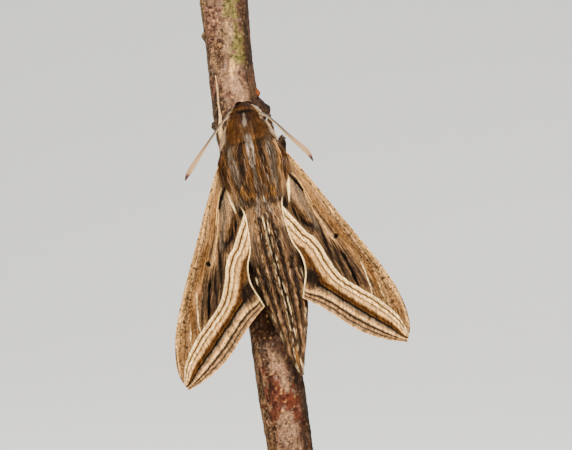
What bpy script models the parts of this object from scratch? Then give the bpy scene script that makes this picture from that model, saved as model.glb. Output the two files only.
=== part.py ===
# A silver-striped hawk-moth at rest on a cut length of twig, held by a plain display stand.
# Metres, +Z up. The twig stands upright, and the moth clings to its front, the side that faces -Y, head up.
import math
import random

import bmesh
import bpy
import numpy as np
from mathutils import Matrix, Vector

MM = 0.001
GAP = 0.3 * MM

# The stand: a round base and one rod up to the cut end of the twig
BASE_RADIUS = 26.0 * MM
BASE_HEIGHT = 5.0 * MM
BASE_CHAMFER = 0.8 * MM
ROD_RADIUS = 1.75 * MM
TWIG_FOOT = 12.0 * MM

# The twig: its middle line in the XZ plane, and its size
TWIG_LINE = [(0.37, 12.0), (-1.78, 25.3), (-5.05, 45.6), (-8.33, 65.9), (-9.84, 80.4), (-10.25, 84.2)]
TWIG_RADIUS = 3.75 * MM
# Buds and scars: height up the twig, degrees round it from the front towards +X, radius, how far it stands out
TWIG_KNOBS = [
    (65.1 * MM, 92.0, 1.4 * MM, 1.15 * MM),
    (67.0 * MM, 72.0, 0.9 * MM, 0.7 * MM),
    (61.9 * MM, -90.0, 1.1 * MM, 0.9 * MM),
    (76.0 * MM, -86.0, 1.2 * MM, 0.6 * MM),
    (72.0 * MM, 160.0, 1.4 * MM, 1.0 * MM),
    (19.0 * MM, 40.0, 1.8 * MM, 0.4 * MM),
    (33.0 * MM, -150.0, 1.5 * MM, 0.8 * MM),
]

# The moth's own frame: X to its right, Y to its head, Z out of its back; Z = 0 is the twig's middle plane
MOTH_PLACE = Vector((-5.33 * MM, 0.0, 55.56 * MM))
MOTH_TURN = math.radians(12.5)

# Body profiles in millimetres: Y, middle Z, half width, half height, and how far the middle lies to the right
THORAX = [
    (6.7, 8.1, 1.9, 1.8, 0.15),
    (6.0, 8.3, 2.45, 2.35, 0.1),
    (4.6, 8.5, 3.2, 2.95, 0.05),
    (2.9, 8.65, 3.85, 3.4, 0.0),
    (0.6, 8.75, 4.15, 3.65, 0.0),
    (-1.8, 8.6, 4.0, 3.5, 0.0),
    (-4.2, 8.2, 3.3, 2.95, 0.0),
]
ABDOMEN = [
    (-4.5, 8.1, 3.1, 2.75, 0.0),
    (-6.5, 7.9, 3.55, 2.95, 0.0),
    (-9.0, 7.6, 3.85, 3.1, 0.0),
    (-12.0, 7.3, 3.85, 3.1, 0.05),
    (-16.0, 6.8, 3.55, 2.8, 0.15),
    (-20.0, 6.25, 3.0, 2.35, 0.3),
    (-24.0, 5.6, 2.1, 1.7, 0.4),
    (-27.0, 5.1, 1.2, 1.0, 0.4),
    (-28.8, 4.8, 0.55, 0.45, 0.35),
    (-29.6, 4.7, 0.0, 0.0, 0.35),
]
HEAD = [
    (7.25, 8.1, 1.8, 1.8, 0.0),
    (7.6, 8.2, 2.1, 2.0, 0.0),
    (8.2, 8.25, 2.12, 2.05, 0.0),
    (8.8, 8.15, 1.7, 1.75, 0.0),
    (9.2, 8.05, 1.05, 1.2, 0.0),
    (9.4, 7.95, 0.0, 0.0, 0.0),
]
# The head is turned a little more to the right than the body, about the neck
NECK = Vector((0.1, 6.2, 8.1)) * MM
HEAD_TURN = math.radians(8.5)
TERGITE_ENDS = [-7.6, -10.8, -14.0, -17.1, -20.2, -23.2, -26.0]
TERGITE_STEP = 0.035

EYE_PLACE = Vector((1.45, 8.2, 7.4)) * MM
EYE_RADIUS = 1.08 * MM
COIL_PLACE = Vector((0.0, 8.6, 5.0)) * MM
COIL_RADIUS = 0.75 * MM
COIL_HALF_WIDTH = 0.28 * MM

# Feelers and palps: X, Y, Z and radius in millimetres, on the moth's right
ANTENNA_RIGHT = [
    (2.75, 7.75, 9.5, 0.25),
    (3.2, 7.35, 9.7, 0.25),
    (3.77, 6.83, 9.7, 0.25),
    (4.91, 5.31, 9.45, 0.28),
    (5.96, 3.76, 9.15, 0.34),
    (7.15, 2.13, 8.85, 0.42),
    (8.08, 0.86, 8.55, 0.44),
    (8.55, -0.1, 8.4, 0.3),
    (8.76, -0.9, 8.2, 0.1),
]
ANTENNA_LEFT = [
    (2.2, 8.25, 9.55, 0.25),
    (2.9, 7.7, 9.75, 0.25),
    (4.0, 6.75, 9.7, 0.25),
    (5.5, 5.35, 9.45, 0.28),
    (6.9, 4.05, 9.15, 0.34),
    (8.1, 2.85, 8.85, 0.42),
    (9.2, 1.75, 8.6, 0.43),
    (9.95, 0.95, 8.4, 0.3),
    (10.35, 0.35, 8.2, 0.1),
]
PALP = [
    (1.0, 8.3, 5.2, 0.3),
    (1.0, 8.9, 5.3, 0.44),
    (0.92, 9.55, 5.85, 0.54),
    (0.8, 9.85, 6.75, 0.56),
    (0.68, 9.95, 7.65, 0.42),
    (0.6, 9.9, 8.2, 0.14),
]

# Forewing outline in the moth's XY plane, in millimetres, on its right
FORE_COSTA = [
    (5.1, 1.5), (6.25, -0.4), (8.3, -4.2), (10.9, -9.3), (13.2, -13.7), (15.3, -17.9),
    (16.9, -21.8), (17.7, -25.6), (17.6, -28.3), (16.75, -30.3),
]
FORE_INNER = [
    (4.75, -0.9), (4.4, -2.9), (3.35, -4.6), (2.75, -6.3), (2.78, -9.4), (3.1, -11.8), (3.9, -13.8),
    (4.15, -15.5), (4.0, -17.0), (3.45, -18.6), (2.87, -20.35),
]
FORE_OUTER = [(16.75, -30.3), (14.4, -29.5), (11.8, -28.2), (9.4, -26.4), (7.25, -24.2), (5.2, -22.2), (2.87, -20.35)]
HIND_COSTA = [(5.1, -0.6), (6.7, -4.0), (8.9, -9.0), (11.0, -14.0), (12.4, -18.0), (12.7, -20.8)]
HIND_INNER = [(4.75, -1.7), (4.6, -4.0), (4.6, -7.5), (4.62, -12.0), (4.7, -16.0), (4.8, -19.4)]
HIND_OUTER = [(12.7, -20.8), (11.4, -22.6), (9.0, -23.0), (6.6, -21.8), (4.8, -19.4)]

# The roof that the wings form: over Y, its height at its inner line and how fast it falls outwards
ROOF_INNER_X = 2.7
ROOF_HEIGHT = [
    (-30.3, 6.7), (-25.0, 7.3), (-20.35, 8.1), (-16.0, 9.3), (-12.0, 10.15), (-9.5, 10.6), (-7.0, 10.8),
    (-3.0, 10.55), (1.6, 9.9),
]
ROOF_FALL = [(-30.3, 0.27), (-20.0, 0.30), (-14.0, 0.35), (-9.0, 0.40), (-4.0, 0.45), (1.6, 0.46)]
ROOF_CAMBER = 0.45
HIND_BELOW = 1.15
WING_THICKNESS = 0.5 * MM

# Main veins: place across the wing from its front edge, and the stretch of the wing's length that each runs
FORE_VEINS = [
    (0.05, 0.0, 0.8), (0.13, 0.0, 1.0), (0.22, 0.45, 1.0), (0.32, 0.45, 1.0), (0.43, 0.48, 1.0),
    (0.55, 0.0, 1.0), (0.67, 0.4, 1.0), (0.79, 0.25, 1.0), (0.92, 0.0, 1.0),
]
HIND_VEINS = [(0.08, 0.0, 1.0), (0.26, 0.4, 1.0), (0.42, 0.0, 1.0), (0.58, 0.4, 1.0), (0.74, 0.0, 1.0), (0.9, 0.0, 1.0)]
VEIN_HALF_WIDTH = 0.02
VEIN_HEIGHT = 0.16 * MM
# Where the wing is narrower than this, from its front edge to its back edge, the veins are lower in step
VEIN_FULL_SPAN = 11.0

# The long hair on the thorax, as locks that lie backwards: where each row grows (Y in millimetres, the lowest and
# highest degrees round the body on one side, how many on that side), its length and width in millimetres, and how
# high its middle stands
THORAX_LOCKS = [
    (5.0, 16.0, 84.0, 5, 2.6, 1.0, 0.2),
    (2.7, 12.0, 46.0, 3, 3.6, 1.0, 0.15),
    (1.6, 52.0, 84.0, 3, 4.4, 1.0, 0.35),
    (0.2, 16.0, 44.0, 2, 2.2, 0.9, 0.1),
    (-1.2, 58.0, 86.0, 3, 5.2, 0.9, 0.5),
]
TAIL_LOCKS = (-26.6, 7, 4.0, 0.75, 0.05)
LOCK_THICKNESS = 0.5

SEED = 7


def spline(points, count):
    """Evenly spaced points on a smooth curve through the given ones, of any dimension."""
    knots = np.array(points, float)
    ends = np.vstack([2 * knots[0] - knots[1], knots, 2 * knots[-1] - knots[-2]])
    fine = []
    steps = 24
    for i in range(len(knots) - 1):
        a, b, c, d = ends[i : i + 4]
        for t in np.linspace(0, 1, steps, endpoint=False):
            fine.append(0.5 * (2 * b + (c - a) * t + (2 * a - 5 * b + 4 * c - d) * t**2 + (3 * b - a - 3 * c + d) * t**3))
    fine.append(knots[-1])
    fine = np.array(fine)
    length = np.concatenate([[0], np.cumsum(np.linalg.norm(np.diff(fine, axis=0), axis=1))])
    at = np.linspace(0, length[-1], count)
    return np.column_stack([np.interp(at, length, fine[:, k]) for k in range(fine.shape[1])])


def table(rows, at):
    """Value at a place in rows of (place, value), which rise."""
    return float(np.interp(at, [r[0] for r in rows], [r[1] for r in rows]))


def material(name, colour, roughness, metallic=0.0):
    made = bpy.data.materials.new(name)
    made.use_nodes = True
    shader = made.node_tree.nodes["Principled BSDF"]
    shader.inputs["Base Color"].default_value = (*colour, 1)
    shader.inputs["Roughness"].default_value = roughness
    shader.inputs["Metallic"].default_value = metallic
    return made


def node_object(name, mesh, finish, parent=None):
    made = bpy.data.objects.new(name, mesh)
    bpy.context.scene.collection.objects.link(made)
    made.data.materials.append(finish)
    made.parent = parent
    return made


def shaped_grid(across, along, place, wrap):
    """A bmesh grid of across by along faces, each vertex put at place(i, j). A wrapped grid is closed round and at its ends."""
    bm = bmesh.new()
    bmesh.ops.create_grid(bm, x_segments=across, y_segments=along, size=1.0)
    for vertex in bm.verts:
        i = round((vertex.co.x + 1) / 2 * across)
        j = round((vertex.co.y + 1) / 2 * along)
        vertex.co = place(i % across if wrap else i, j)
    if wrap:
        bmesh.ops.remove_doubles(bm, verts=bm.verts, dist=0.002 * MM)
        rims = [edge for edge in bm.edges if edge.is_boundary]
        if rims:
            bmesh.ops.holes_fill(bm, edges=rims, sides=0)
        bmesh.ops.recalc_face_normals(bm, faces=bm.faces)
    return bm


def mesh_from(bm, name, smooth_angle=50):
    bmesh.ops.triangulate(bm, faces=bm.faces, quad_method="SHORT_EDGE")
    mesh = bpy.data.meshes.new(name)
    bm.to_mesh(mesh)
    bm.free()
    mesh.shade_smooth()
    mesh.set_sharp_from_angle(angle=math.radians(smooth_angle))
    return mesh


def ring_point(station, turn, stretch=None):
    """A point round a body's section, from its right side up over its back."""
    y, middle, half_width, half_height, shift = station
    factor = stretch(y) if stretch else 1.0
    x = shift + max(half_width, 0) * math.cos(turn) * factor
    z = middle + max(half_height, 0) * math.sin(turn) * factor
    return Vector((x, y, z)) * MM


def profile_body(profile, sides, rings, stretch=None):
    """A bmesh of the rounded body whose sections follow the profile."""
    stations = spline(profile, rings + 1)

    def place(i, j):
        return ring_point(stations[j], math.tau * i / sides, stretch)

    return shaped_grid(sides, rings, place, wrap=True)


def tergites(y):
    """Each back plate of the abdomen widens to its hind edge, then steps down onto the next."""
    starts = [-4.5, *TERGITE_ENDS]
    for start, end in zip(starts, TERGITE_ENDS):
        if end < y <= start:
            return 1 + TERGITE_STEP * ((start - y) / (start - end) - 0.6)
    return 1.0


def wing_height(x, y, w, r):
    """Height of the wings' roof, in millimetres, with a soft crown across each wing."""
    fall = table(ROOF_FALL, y) * max(abs(x) - ROOF_INNER_X, -0.5)
    crown = ROOF_CAMBER * math.sin(math.pi * w) * math.sin(math.pi * min(r, 1.0) * 0.85)
    return table(ROOF_HEIGHT, y) - fall + crown


def vein_ridge(veins, w, r):
    """How far the nearest vein lifts the membrane, from 0 to 1."""
    lift = 0.0
    for place, start, end in veins:
        if start <= r <= end:
            lift = max(lift, 1 - abs(w - place) / VEIN_HALF_WIDTH)
    return max(lift, 0.0)


def wing(name, costa, inner, outer, veins, rows, below, side, finish, parent):
    """A wing patch between its front edge, inner edge, outer edge and root, with its veins as ridges."""
    columns = sorted({0.0, 1.0, *(v[0] + k * VEIN_HALF_WIDTH for v in veins for k in (-1, 0, 1))})
    front, back = spline(costa, rows + 1), spline(inner, rows + 1)
    margin = spline(outer, 401)
    root_front, root_back = front[0], back[0]

    def place(i, j):
        w, r = columns[i], j / rows
        rim = margin[round(w * 400)]
        root = root_front + (root_back - root_front) * w
        sides_mix = front[j] * (1 - w) + back[j] * w
        ends_mix = root * (1 - r) + rim * r
        corners = (root_front * (1 - w) + root_back * w) * (1 - r) + (margin[0] * (1 - w) + margin[-1] * w) * r
        x, y = sides_mix + ends_mix - corners
        z = wing_height(x, y, w, r) - below
        height = VEIN_HEIGHT * min(1.0, float(np.linalg.norm(front[j] - back[j])) / VEIN_FULL_SPAN)
        return Vector((side * x * MM, y * MM, z * MM + height * vein_ridge(veins, w, r)))

    bm = shaped_grid(len(columns) - 1, rows, place, wrap=False)
    bmesh.ops.triangulate(bm, faces=bm.faces, quad_method="SHORT_EDGE")
    bmesh.ops.recalc_face_normals(bm, faces=bm.faces)
    bm.normal_update()
    if sum(face.normal.z for face in bm.faces) < 0:
        bmesh.ops.reverse_faces(bm, faces=bm.faces)
    top = bmesh.ops.extrude_face_region(bm, geom=bm.faces[:], use_keep_orig=True)["geom"]
    lifted = [part for part in top if isinstance(part, bmesh.types.BMVert)]
    bmesh.ops.translate(bm, vec=(0, 0, WING_THICKNESS), verts=lifted)
    bmesh.ops.translate(bm, vec=(0, 0, -WING_THICKNESS / 2), verts=bm.verts)
    bmesh.ops.recalc_face_normals(bm, faces=bm.faces)
    return node_object(name, mesh_from(bm, name, 60), finish, parent)


def tube(name, points, side, sides, finish, parent):
    """A bent, tapered tube through (x, y, z, radius) points, as a bevelled curve with filled ends."""
    data = bpy.data.curves.new(name, "CURVE")
    data.dimensions = "3D"
    data.bevel_depth = 1.0 * MM
    data.bevel_resolution = sides // 2 - 2
    data.use_fill_caps = True
    data.resolution_u = 1
    path = data.splines.new("POLY")
    path.points.add(len(points) - 1)
    for point, (x, y, z, radius) in zip(path.points, points):
        point.co = (side * x * MM, y * MM, z * MM, 1)
        point.radius = radius
    return node_object(name, data, finish, parent)


def twig_centre(height):
    """The twig's middle at a height, in the world."""
    line = spline(TWIG_LINE, 80) * MM
    return Vector((float(np.interp(height, line[:, 1], line[:, 0])), 0.0, height))


def moth_matrix():
    """Carries the moth's own frame to its place on the twig: its back to -Y, its head up, turned in the plane."""
    return Matrix.Translation(MOTH_PLACE) @ Matrix.Rotation(-MOTH_TURN, 4, "Y") @ Matrix.Rotation(math.pi / 2, 4, "X")


def twig_reach(height, turn):
    """The twig's radius at a height and an angle round it, with its shallow furrows, swellings and knobs."""
    reach = TWIG_RADIUS
    reach += 0.10 * MM * math.sin(3 * turn + 90 * height / 1.3 * 1.0) + 0.07 * MM * math.sin(7 * turn - 60 * height)
    reach += 0.12 * MM * math.sin(310 * height + 1.0)
    for knob_height, degrees, radius, stands in TWIG_KNOBS:
        round_off = (turn - math.radians(degrees) + math.pi) % math.tau - math.pi
        off = math.hypot(height - knob_height, round_off * TWIG_RADIUS) / radius
        reach += stands * max(0.0, 1 - off) ** 0.8
    return reach


def on_twig(y, degrees, lift):
    """A point beside the twig in the moth's frame, in millimetres: along it, round it from its front, and off its bark."""
    to_world = moth_matrix()
    world = to_world @ Vector((0, y * MM, 0))
    turn = math.radians(degrees)
    centre = to_world.inverted() @ twig_centre(world.z)
    height = (to_world @ Vector((centre.x + TWIG_RADIUS * math.sin(turn), y * MM, 0))).z
    reach = twig_reach(height, turn) / MM + lift
    return centre.x / MM + reach * math.sin(turn), y, reach * math.cos(turn)


def build_stand(wood, steel):
    bm = bmesh.new()
    bmesh.ops.create_cone(
        bm, cap_ends=True, segments=64, radius1=BASE_RADIUS, radius2=BASE_RADIUS, depth=BASE_HEIGHT,
        matrix=Matrix.Translation((0, 0, BASE_HEIGHT / 2)),
    )
    top = [e for e in bm.edges if all(v.co.z > BASE_HEIGHT / 2 for v in e.verts)]
    bmesh.ops.bevel(bm, geom=top, offset=BASE_CHAMFER, segments=2, profile=0.5, affect="EDGES", material=-1)
    node_object("stand_base", mesh_from(bm, "stand_base", 30), wood)
    bottom, top = BASE_HEIGHT + GAP, TWIG_FOOT - GAP
    bm = bmesh.new()
    bmesh.ops.create_cone(
        bm, cap_ends=True, segments=24, radius1=ROD_RADIUS, radius2=ROD_RADIUS, depth=top - bottom,
        matrix=Matrix.Translation((twig_centre(TWIG_FOOT).x, 0, (top + bottom) / 2)),
    )
    node_object("stand_rod", mesh_from(bm, "stand_rod", 30), steel)


def build_twig(bark):
    sides, rings = 28, 44
    top = TWIG_LINE[-1][1] * MM

    def place(i, j):
        height = TWIG_FOOT + (top - TWIG_FOOT) * j / rings
        turn = math.tau * i / sides
        reach = twig_reach(height, turn)
        centre = twig_centre(height)
        return centre + Vector((reach * math.sin(turn), -reach * math.cos(turn), 0))

    node_object("twig", mesh_from(shaped_grid(sides, rings, place, wrap=True), "twig"), bark)


def lock(root, along, up, length, width, lift):
    """A flat, tapered lock of hair as a closed mesh: it rises from its sunk root, bends over and comes to a point."""
    across = along.cross(up).normalized()
    bm = bmesh.new()
    rings = []
    for t, spread in ((0.0, 0.75), (0.3, 1.0), (0.62, 0.72), (0.86, 0.38)):
        middle = root + along * length * t + up * lift * math.sin(math.pi * t)
        half, thick = 0.5 * width * spread, 0.5 * LOCK_THICKNESS * spread
        corners = (across * half, up * thick, -across * half, -up * thick)
        rings.append([bm.verts.new((middle + corner) * MM) for corner in corners])
    tip = bm.verts.new((root + along * length - up * 0.1 * lift) * MM)
    bm.faces.new(rings[0])
    for lower, upper in zip(rings, rings[1:]):
        for k in range(4):
            bm.faces.new((lower[k], lower[(k + 1) % 4], upper[(k + 1) % 4], upper[k]))
    for k in range(4):
        bm.faces.new((rings[-1][k], rings[-1][(k + 1) % 4], tip))
    bmesh.ops.recalc_face_normals(bm, faces=bm.faces)
    mesh = bpy.data.meshes.new("lock")
    bm.to_mesh(mesh)
    bm.free()
    return mesh


def body_locks(profile, row, rng):
    """One row of locks on both sides of a body, whose roots are sunk in its surface."""
    y, lowest, highest, count, length, width, lift = row
    made = []
    for side in (-1, 1):
        for k in range(count):
            degrees = lowest + (highest - lowest) * (k + 0.5) / count + rng.uniform(-3, 3)
            start = y + rng.uniform(-0.3, 0.3)
            turn = math.radians(degrees if side > 0 else 180 - degrees)
            station = [float(np.interp(-start, [-r[0] for r in profile], [r[n] for r in profile])) for n in range(5)]
            root = ring_point(station, turn) / MM
            up = Vector((math.cos(turn), 0.0, math.sin(turn)))
            along = Vector((-0.05 * side + rng.uniform(-0.06, 0.06), -1.0, 0.0))
            station[0] -= length
            end = [float(np.interp(-station[0], [-r[0] for r in profile], [r[n] for r in profile])) for n in range(5)]
            along.z = (ring_point(end, turn) / MM - root).z / length * 0.5
            along.normalize()
            size = length * rng.uniform(0.88, 1.08)
            made.append(lock(root - up * 0.3 - along * 0.2, along, up, size, width, lift + 0.25))
    return made


def fused(core, pieces):
    """Joins closed meshes to an object's mesh with one union, then keeps the largest closed surface."""
    group = bpy.data.collections.new(core.name + "_locks")
    bpy.context.scene.collection.children.link(group)
    for number, mesh in enumerate(pieces):
        piece = bpy.data.objects.new(f"{core.name}_lock_{number}", mesh)
        group.objects.link(piece)
        piece.parent = core.parent
    bpy.context.view_layer.update()
    union = core.modifiers.new("Locks", "BOOLEAN")
    union.operation = "UNION"
    union.operand_type = "COLLECTION"
    union.collection = group
    bpy.context.view_layer.update()
    finished = bpy.data.meshes.new_from_object(core.evaluated_get(bpy.context.evaluated_depsgraph_get()))
    core.modifiers.remove(union)
    for piece in list(group.objects):
        bpy.data.objects.remove(piece)
    bpy.data.collections.remove(group)
    core.data = keep_largest(finished)


def keep_largest(mesh):
    """The same mesh with only its largest connected surface, cleaned of doubles and slivers."""
    bm = bmesh.new()
    bm.from_mesh(mesh)
    bmesh.ops.remove_doubles(bm, verts=bm.verts, dist=0.01 * MM)
    bmesh.ops.dissolve_degenerate(bm, edges=bm.edges, dist=0.01 * MM)
    bmesh.ops.triangulate(bm, faces=bm.faces)
    left, surfaces = set(bm.faces), []
    while left:
        surface, edge_of_search = set(), [next(iter(left))]
        while edge_of_search:
            face = edge_of_search.pop()
            if face in surface:
                continue
            surface.add(face)
            edge_of_search.extend(other for edge in face.edges for other in edge.link_faces)
        left -= surface
        surfaces.append(surface)
    largest = max(surfaces, key=lambda faces: sum(face.calc_area() for face in faces))
    loose = [face for face in bm.faces if face not in largest]
    bmesh.ops.delete(bm, geom=loose, context="FACES")
    bm.to_mesh(mesh)
    bm.free()
    mesh.shade_smooth()
    mesh.set_sharp_from_angle(angle=math.radians(50))
    return mesh


def tail_tuft(rng):
    """Locks that grow round the abdomen's end and draw together past its tip."""
    y, count, length, width, lift = TAIL_LOCKS
    made = []
    for k in range(count):
        turn = math.tau * (k + 0.5) / count
        station = [float(np.interp(-y, [-r[0] for r in ABDOMEN], [r[n] for r in ABDOMEN])) for n in range(5)]
        root = ring_point(station, turn) / MM
        up = Vector((math.cos(turn), 0.0, math.sin(turn)))
        end = Vector((ABDOMEN[-1][4], y - length, ABDOMEN[-1][1] - 0.15)) + up * 0.25
        along = (end - root + up * 0.2).normalized()
        made.append(lock(root - up * 0.3, along, up, length * rng.uniform(0.92, 1.02), width, lift))
    return made


def build_body(fur, parent):
    rng = random.Random(SEED)
    thorax = node_object("thorax", mesh_from(profile_body(THORAX, 24, 14), "thorax"), fur, parent)
    fused(thorax, [mesh for row in THORAX_LOCKS for mesh in body_locks(THORAX, row, rng)])
    abdomen = node_object("abdomen", mesh_from(profile_body(ABDOMEN, 24, 34, tergites), "abdomen"), fur, parent)
    fused(abdomen, tail_tuft(rng))


def head_frame(body):
    """An empty that turns all that rides on the head about the neck."""
    empty = bpy.data.objects.new("head_frame", None)
    bpy.context.scene.collection.objects.link(empty)
    empty.parent = body
    empty.matrix_basis = (
        Matrix.Translation(NECK) @ Matrix.Rotation(-HEAD_TURN, 4, "Z") @ Matrix.Translation(-NECK)
    )
    return empty


def build_head(fur, eye, horn, parent):
    body, parent = parent, head_frame(parent)
    head = node_object("head", mesh_from(profile_body(HEAD, 24, 12), "head"), fur, parent)
    for side, word in ((-1, "left"), (1, "right")):
        centre = Vector((side * EYE_PLACE.x, EYE_PLACE.y, EYE_PLACE.z))
        for name, radius in ((f"eye_{word}", EYE_RADIUS), (f"socket_{word}", EYE_RADIUS + GAP)):
            bm = bmesh.new()
            bmesh.ops.create_icosphere(bm, subdivisions=3, radius=radius, matrix=Matrix.Translation(centre))
            made = node_object(name, mesh_from(bm, name), eye, parent)
        made.hide_render = True
        made.display_type = "WIRE"
        cut = head.modifiers.new(f"Socket {word}", "BOOLEAN")
        cut.operation = "DIFFERENCE"
        cut.object = made
        tube(f"palp_{word}", [tuple(p) for p in spline(PALP, 9)], side, 8, fur, parent)
    bm = bmesh.new()
    bmesh.ops.create_cone(
        bm, cap_ends=True, segments=20, radius1=COIL_RADIUS, radius2=COIL_RADIUS, depth=2 * COIL_HALF_WIDTH,
        matrix=Matrix.Translation(COIL_PLACE) @ Matrix.Rotation(math.pi / 2, 4, "Y"),
    )
    bmesh.ops.bevel(
        bm, geom=[e for e in bm.edges if len({round(v.co.x / MM, 2) for v in e.verts}) == 1],
        offset=0.18 * MM, segments=2, profile=0.5, affect="EDGES", material=-1,
    )
    node_object("proboscis", mesh_from(bm, "proboscis"), horn, parent)
    tube("antenna_right", [tuple(p) for p in spline(ANTENNA_RIGHT, 18)], 1, 8, horn, body)
    tube("antenna_left", [tuple(p) for p in spline(ANTENNA_LEFT, 18)], -1, 8, horn, body)


def build_wings(scales, parent):
    for side, word in ((-1, "left"), (1, "right")):
        wing(f"forewing_{word}", FORE_COSTA, FORE_INNER, FORE_OUTER, FORE_VEINS, 17, 0.0, side, scales, parent)
        wing(f"hindwing_{word}", HIND_COSTA, HIND_INNER, HIND_OUTER, HIND_VEINS, 12, HIND_BELOW, side, scales, parent)


def leg_points(knots, count=16):
    return [tuple(p) for p in spline(knots, count)]


def build_legs(horn, parent):
    legs = {
        "foreleg_left": [
            (-3.35, 3.3, 5.1, 0.34), (-3.75, 4.6, 4.75, 0.38), (-3.7, 6.5, 4.35, 0.36), (-3.3, 8.6, 4.05, 0.3),
            (*on_twig(10.6, -34, 0.58), 0.25), (*on_twig(12.9, -33, 0.56), 0.23), (*on_twig(15.0, -35, 0.52), 0.15),
        ],
        "foreleg_right": [
            (3.2, 3.6, 5.15, 0.34), (3.75, 5.0, 4.9, 0.38), (3.7, 6.3, 4.35, 0.36), (3.9, 7.1, 3.5, 0.28),
            (*on_twig(6.9, 74, 0.62), 0.25), (*on_twig(6.5, 98, 0.6), 0.25), (*on_twig(6.0, 124, 0.55), 0.15),
        ],
        "midleg_left": [
            (-3.5, 0.4, 5.3, 0.36), (-4.9, -0.6, 4.6, 0.4), (-6.1, -2.2, 3.4, 0.34), (*on_twig(-3.6, -88, 0.7), 0.3),
            (*on_twig(-3.9, -108, 0.62), 0.26), (*on_twig(-3.2, -128, 0.58), 0.25), (*on_twig(-2.4, -146, 0.5), 0.15),
        ],
        "midleg_right": [
            (3.1, 1.0, 5.2, 0.36), (4.0, 2.2, 5.2, 0.42), (5.0, 3.5, 4.9, 0.36), (5.0, 2.2, 3.6, 0.36),
            (4.6, 0.2, 2.2, 0.3), (*on_twig(-2.2, 92, 0.66), 0.28), (*on_twig(-3.6, 108, 0.62), 0.26), (*on_twig(-3.2, 128, 0.58), 0.25), (*on_twig(-2.4, 146, 0.5), 0.15),
        ],
        "hindleg_left": [
            (-3.4, -3.0, 5.2, 0.36), (-5.2, -5.0, 4.9, 0.42), (-6.7, -7.6, 3.6, 0.36), (-6.9, -10.2, 1.6, 0.3),
            (*on_twig(-12.4, -94, 0.62), 0.26), (*on_twig(-14.8, -104, 0.58), 0.25), (*on_twig(-17.0, -112, 0.5), 0.15),
        ],
        "hindleg_right": [
            (3.4, -3.0, 5.2, 0.36), (4.5, -5.0, 4.5, 0.42), (4.6, -7.6, 3.0, 0.36), (3.5, -10.2, 1.2, 0.3),
            (*on_twig(-12.4, 94, 0.62), 0.26), (*on_twig(-14.8, 104, 0.58), 0.25), (*on_twig(-17.0, 112, 0.5), 0.15),
        ],
    }
    for name, knots in legs.items():
        tube(name, leg_points(knots), 1, 8, horn, parent)


def main():
    for old in list(bpy.data.objects):
        bpy.data.objects.remove(old)
    fur = material("body_fur", (0.30, 0.19, 0.10), 0.9)
    scales = material("wing_scales", (0.42, 0.29, 0.18), 0.8)
    eye = material("eye", (0.03, 0.02, 0.02), 0.15)
    horn = material("limb", (0.62, 0.50, 0.36), 0.6)
    bark = material("bark", (0.36, 0.22, 0.17), 0.9)
    wood = material("stand_wood", (0.08, 0.06, 0.05), 0.5)
    steel = material("stand_steel", (0.6, 0.6, 0.6), 0.3, 1.0)
    moth = bpy.data.objects.new("moth_frame", None)
    bpy.context.scene.collection.objects.link(moth)
    moth.matrix_world = moth_matrix()
    build_stand(wood, steel)
    build_twig(bark)
    build_body(fur, moth)
    build_head(fur, eye, horn, moth)
    build_wings(scales, moth)
    build_legs(horn, moth)


main()
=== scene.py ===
"""Looks of a life-size silver-striped hawk-moth that rests on a cut length of twig, on a plain stand."""

import math

import bmesh
import bpy
import numpy as np
from mathutils import Matrix, Vector


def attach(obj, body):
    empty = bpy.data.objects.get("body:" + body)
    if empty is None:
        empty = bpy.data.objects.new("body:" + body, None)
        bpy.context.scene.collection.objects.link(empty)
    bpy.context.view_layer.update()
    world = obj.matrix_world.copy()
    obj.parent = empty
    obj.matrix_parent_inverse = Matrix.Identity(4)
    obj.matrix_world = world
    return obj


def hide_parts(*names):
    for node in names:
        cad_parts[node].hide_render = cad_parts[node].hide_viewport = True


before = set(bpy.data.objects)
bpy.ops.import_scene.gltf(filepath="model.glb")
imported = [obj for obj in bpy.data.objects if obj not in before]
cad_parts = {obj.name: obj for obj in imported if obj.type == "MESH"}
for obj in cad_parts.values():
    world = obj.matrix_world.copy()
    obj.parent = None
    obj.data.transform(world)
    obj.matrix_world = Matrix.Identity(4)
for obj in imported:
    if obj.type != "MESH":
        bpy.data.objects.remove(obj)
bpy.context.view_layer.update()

bl_info = {
    "name": "Resting hawk-moth",
    "version": (1, 0, 0),
    "blender": (4, 5, 0),
    "location": "View3D > Sidebar > Moth",
    "description": "Builds the wings, coat, twig and stand of a resting hawk-moth",
    "category": "Add Mesh",
}

MM = 0.001
SIDES = ((-1, "left"), (1, "right"))

# The moth's own frame: X to its right, Y to its head, Z out of its back. All tables below are in millimetres.
MOTH_PLACE = Vector((-5.33, 0.0, 55.56)) * MM
MOTH_TURN = math.radians(12.5)
NECK = np.array((0.1, 6.2, 8.1))
HEAD_TURN = math.radians(8.5)

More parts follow.
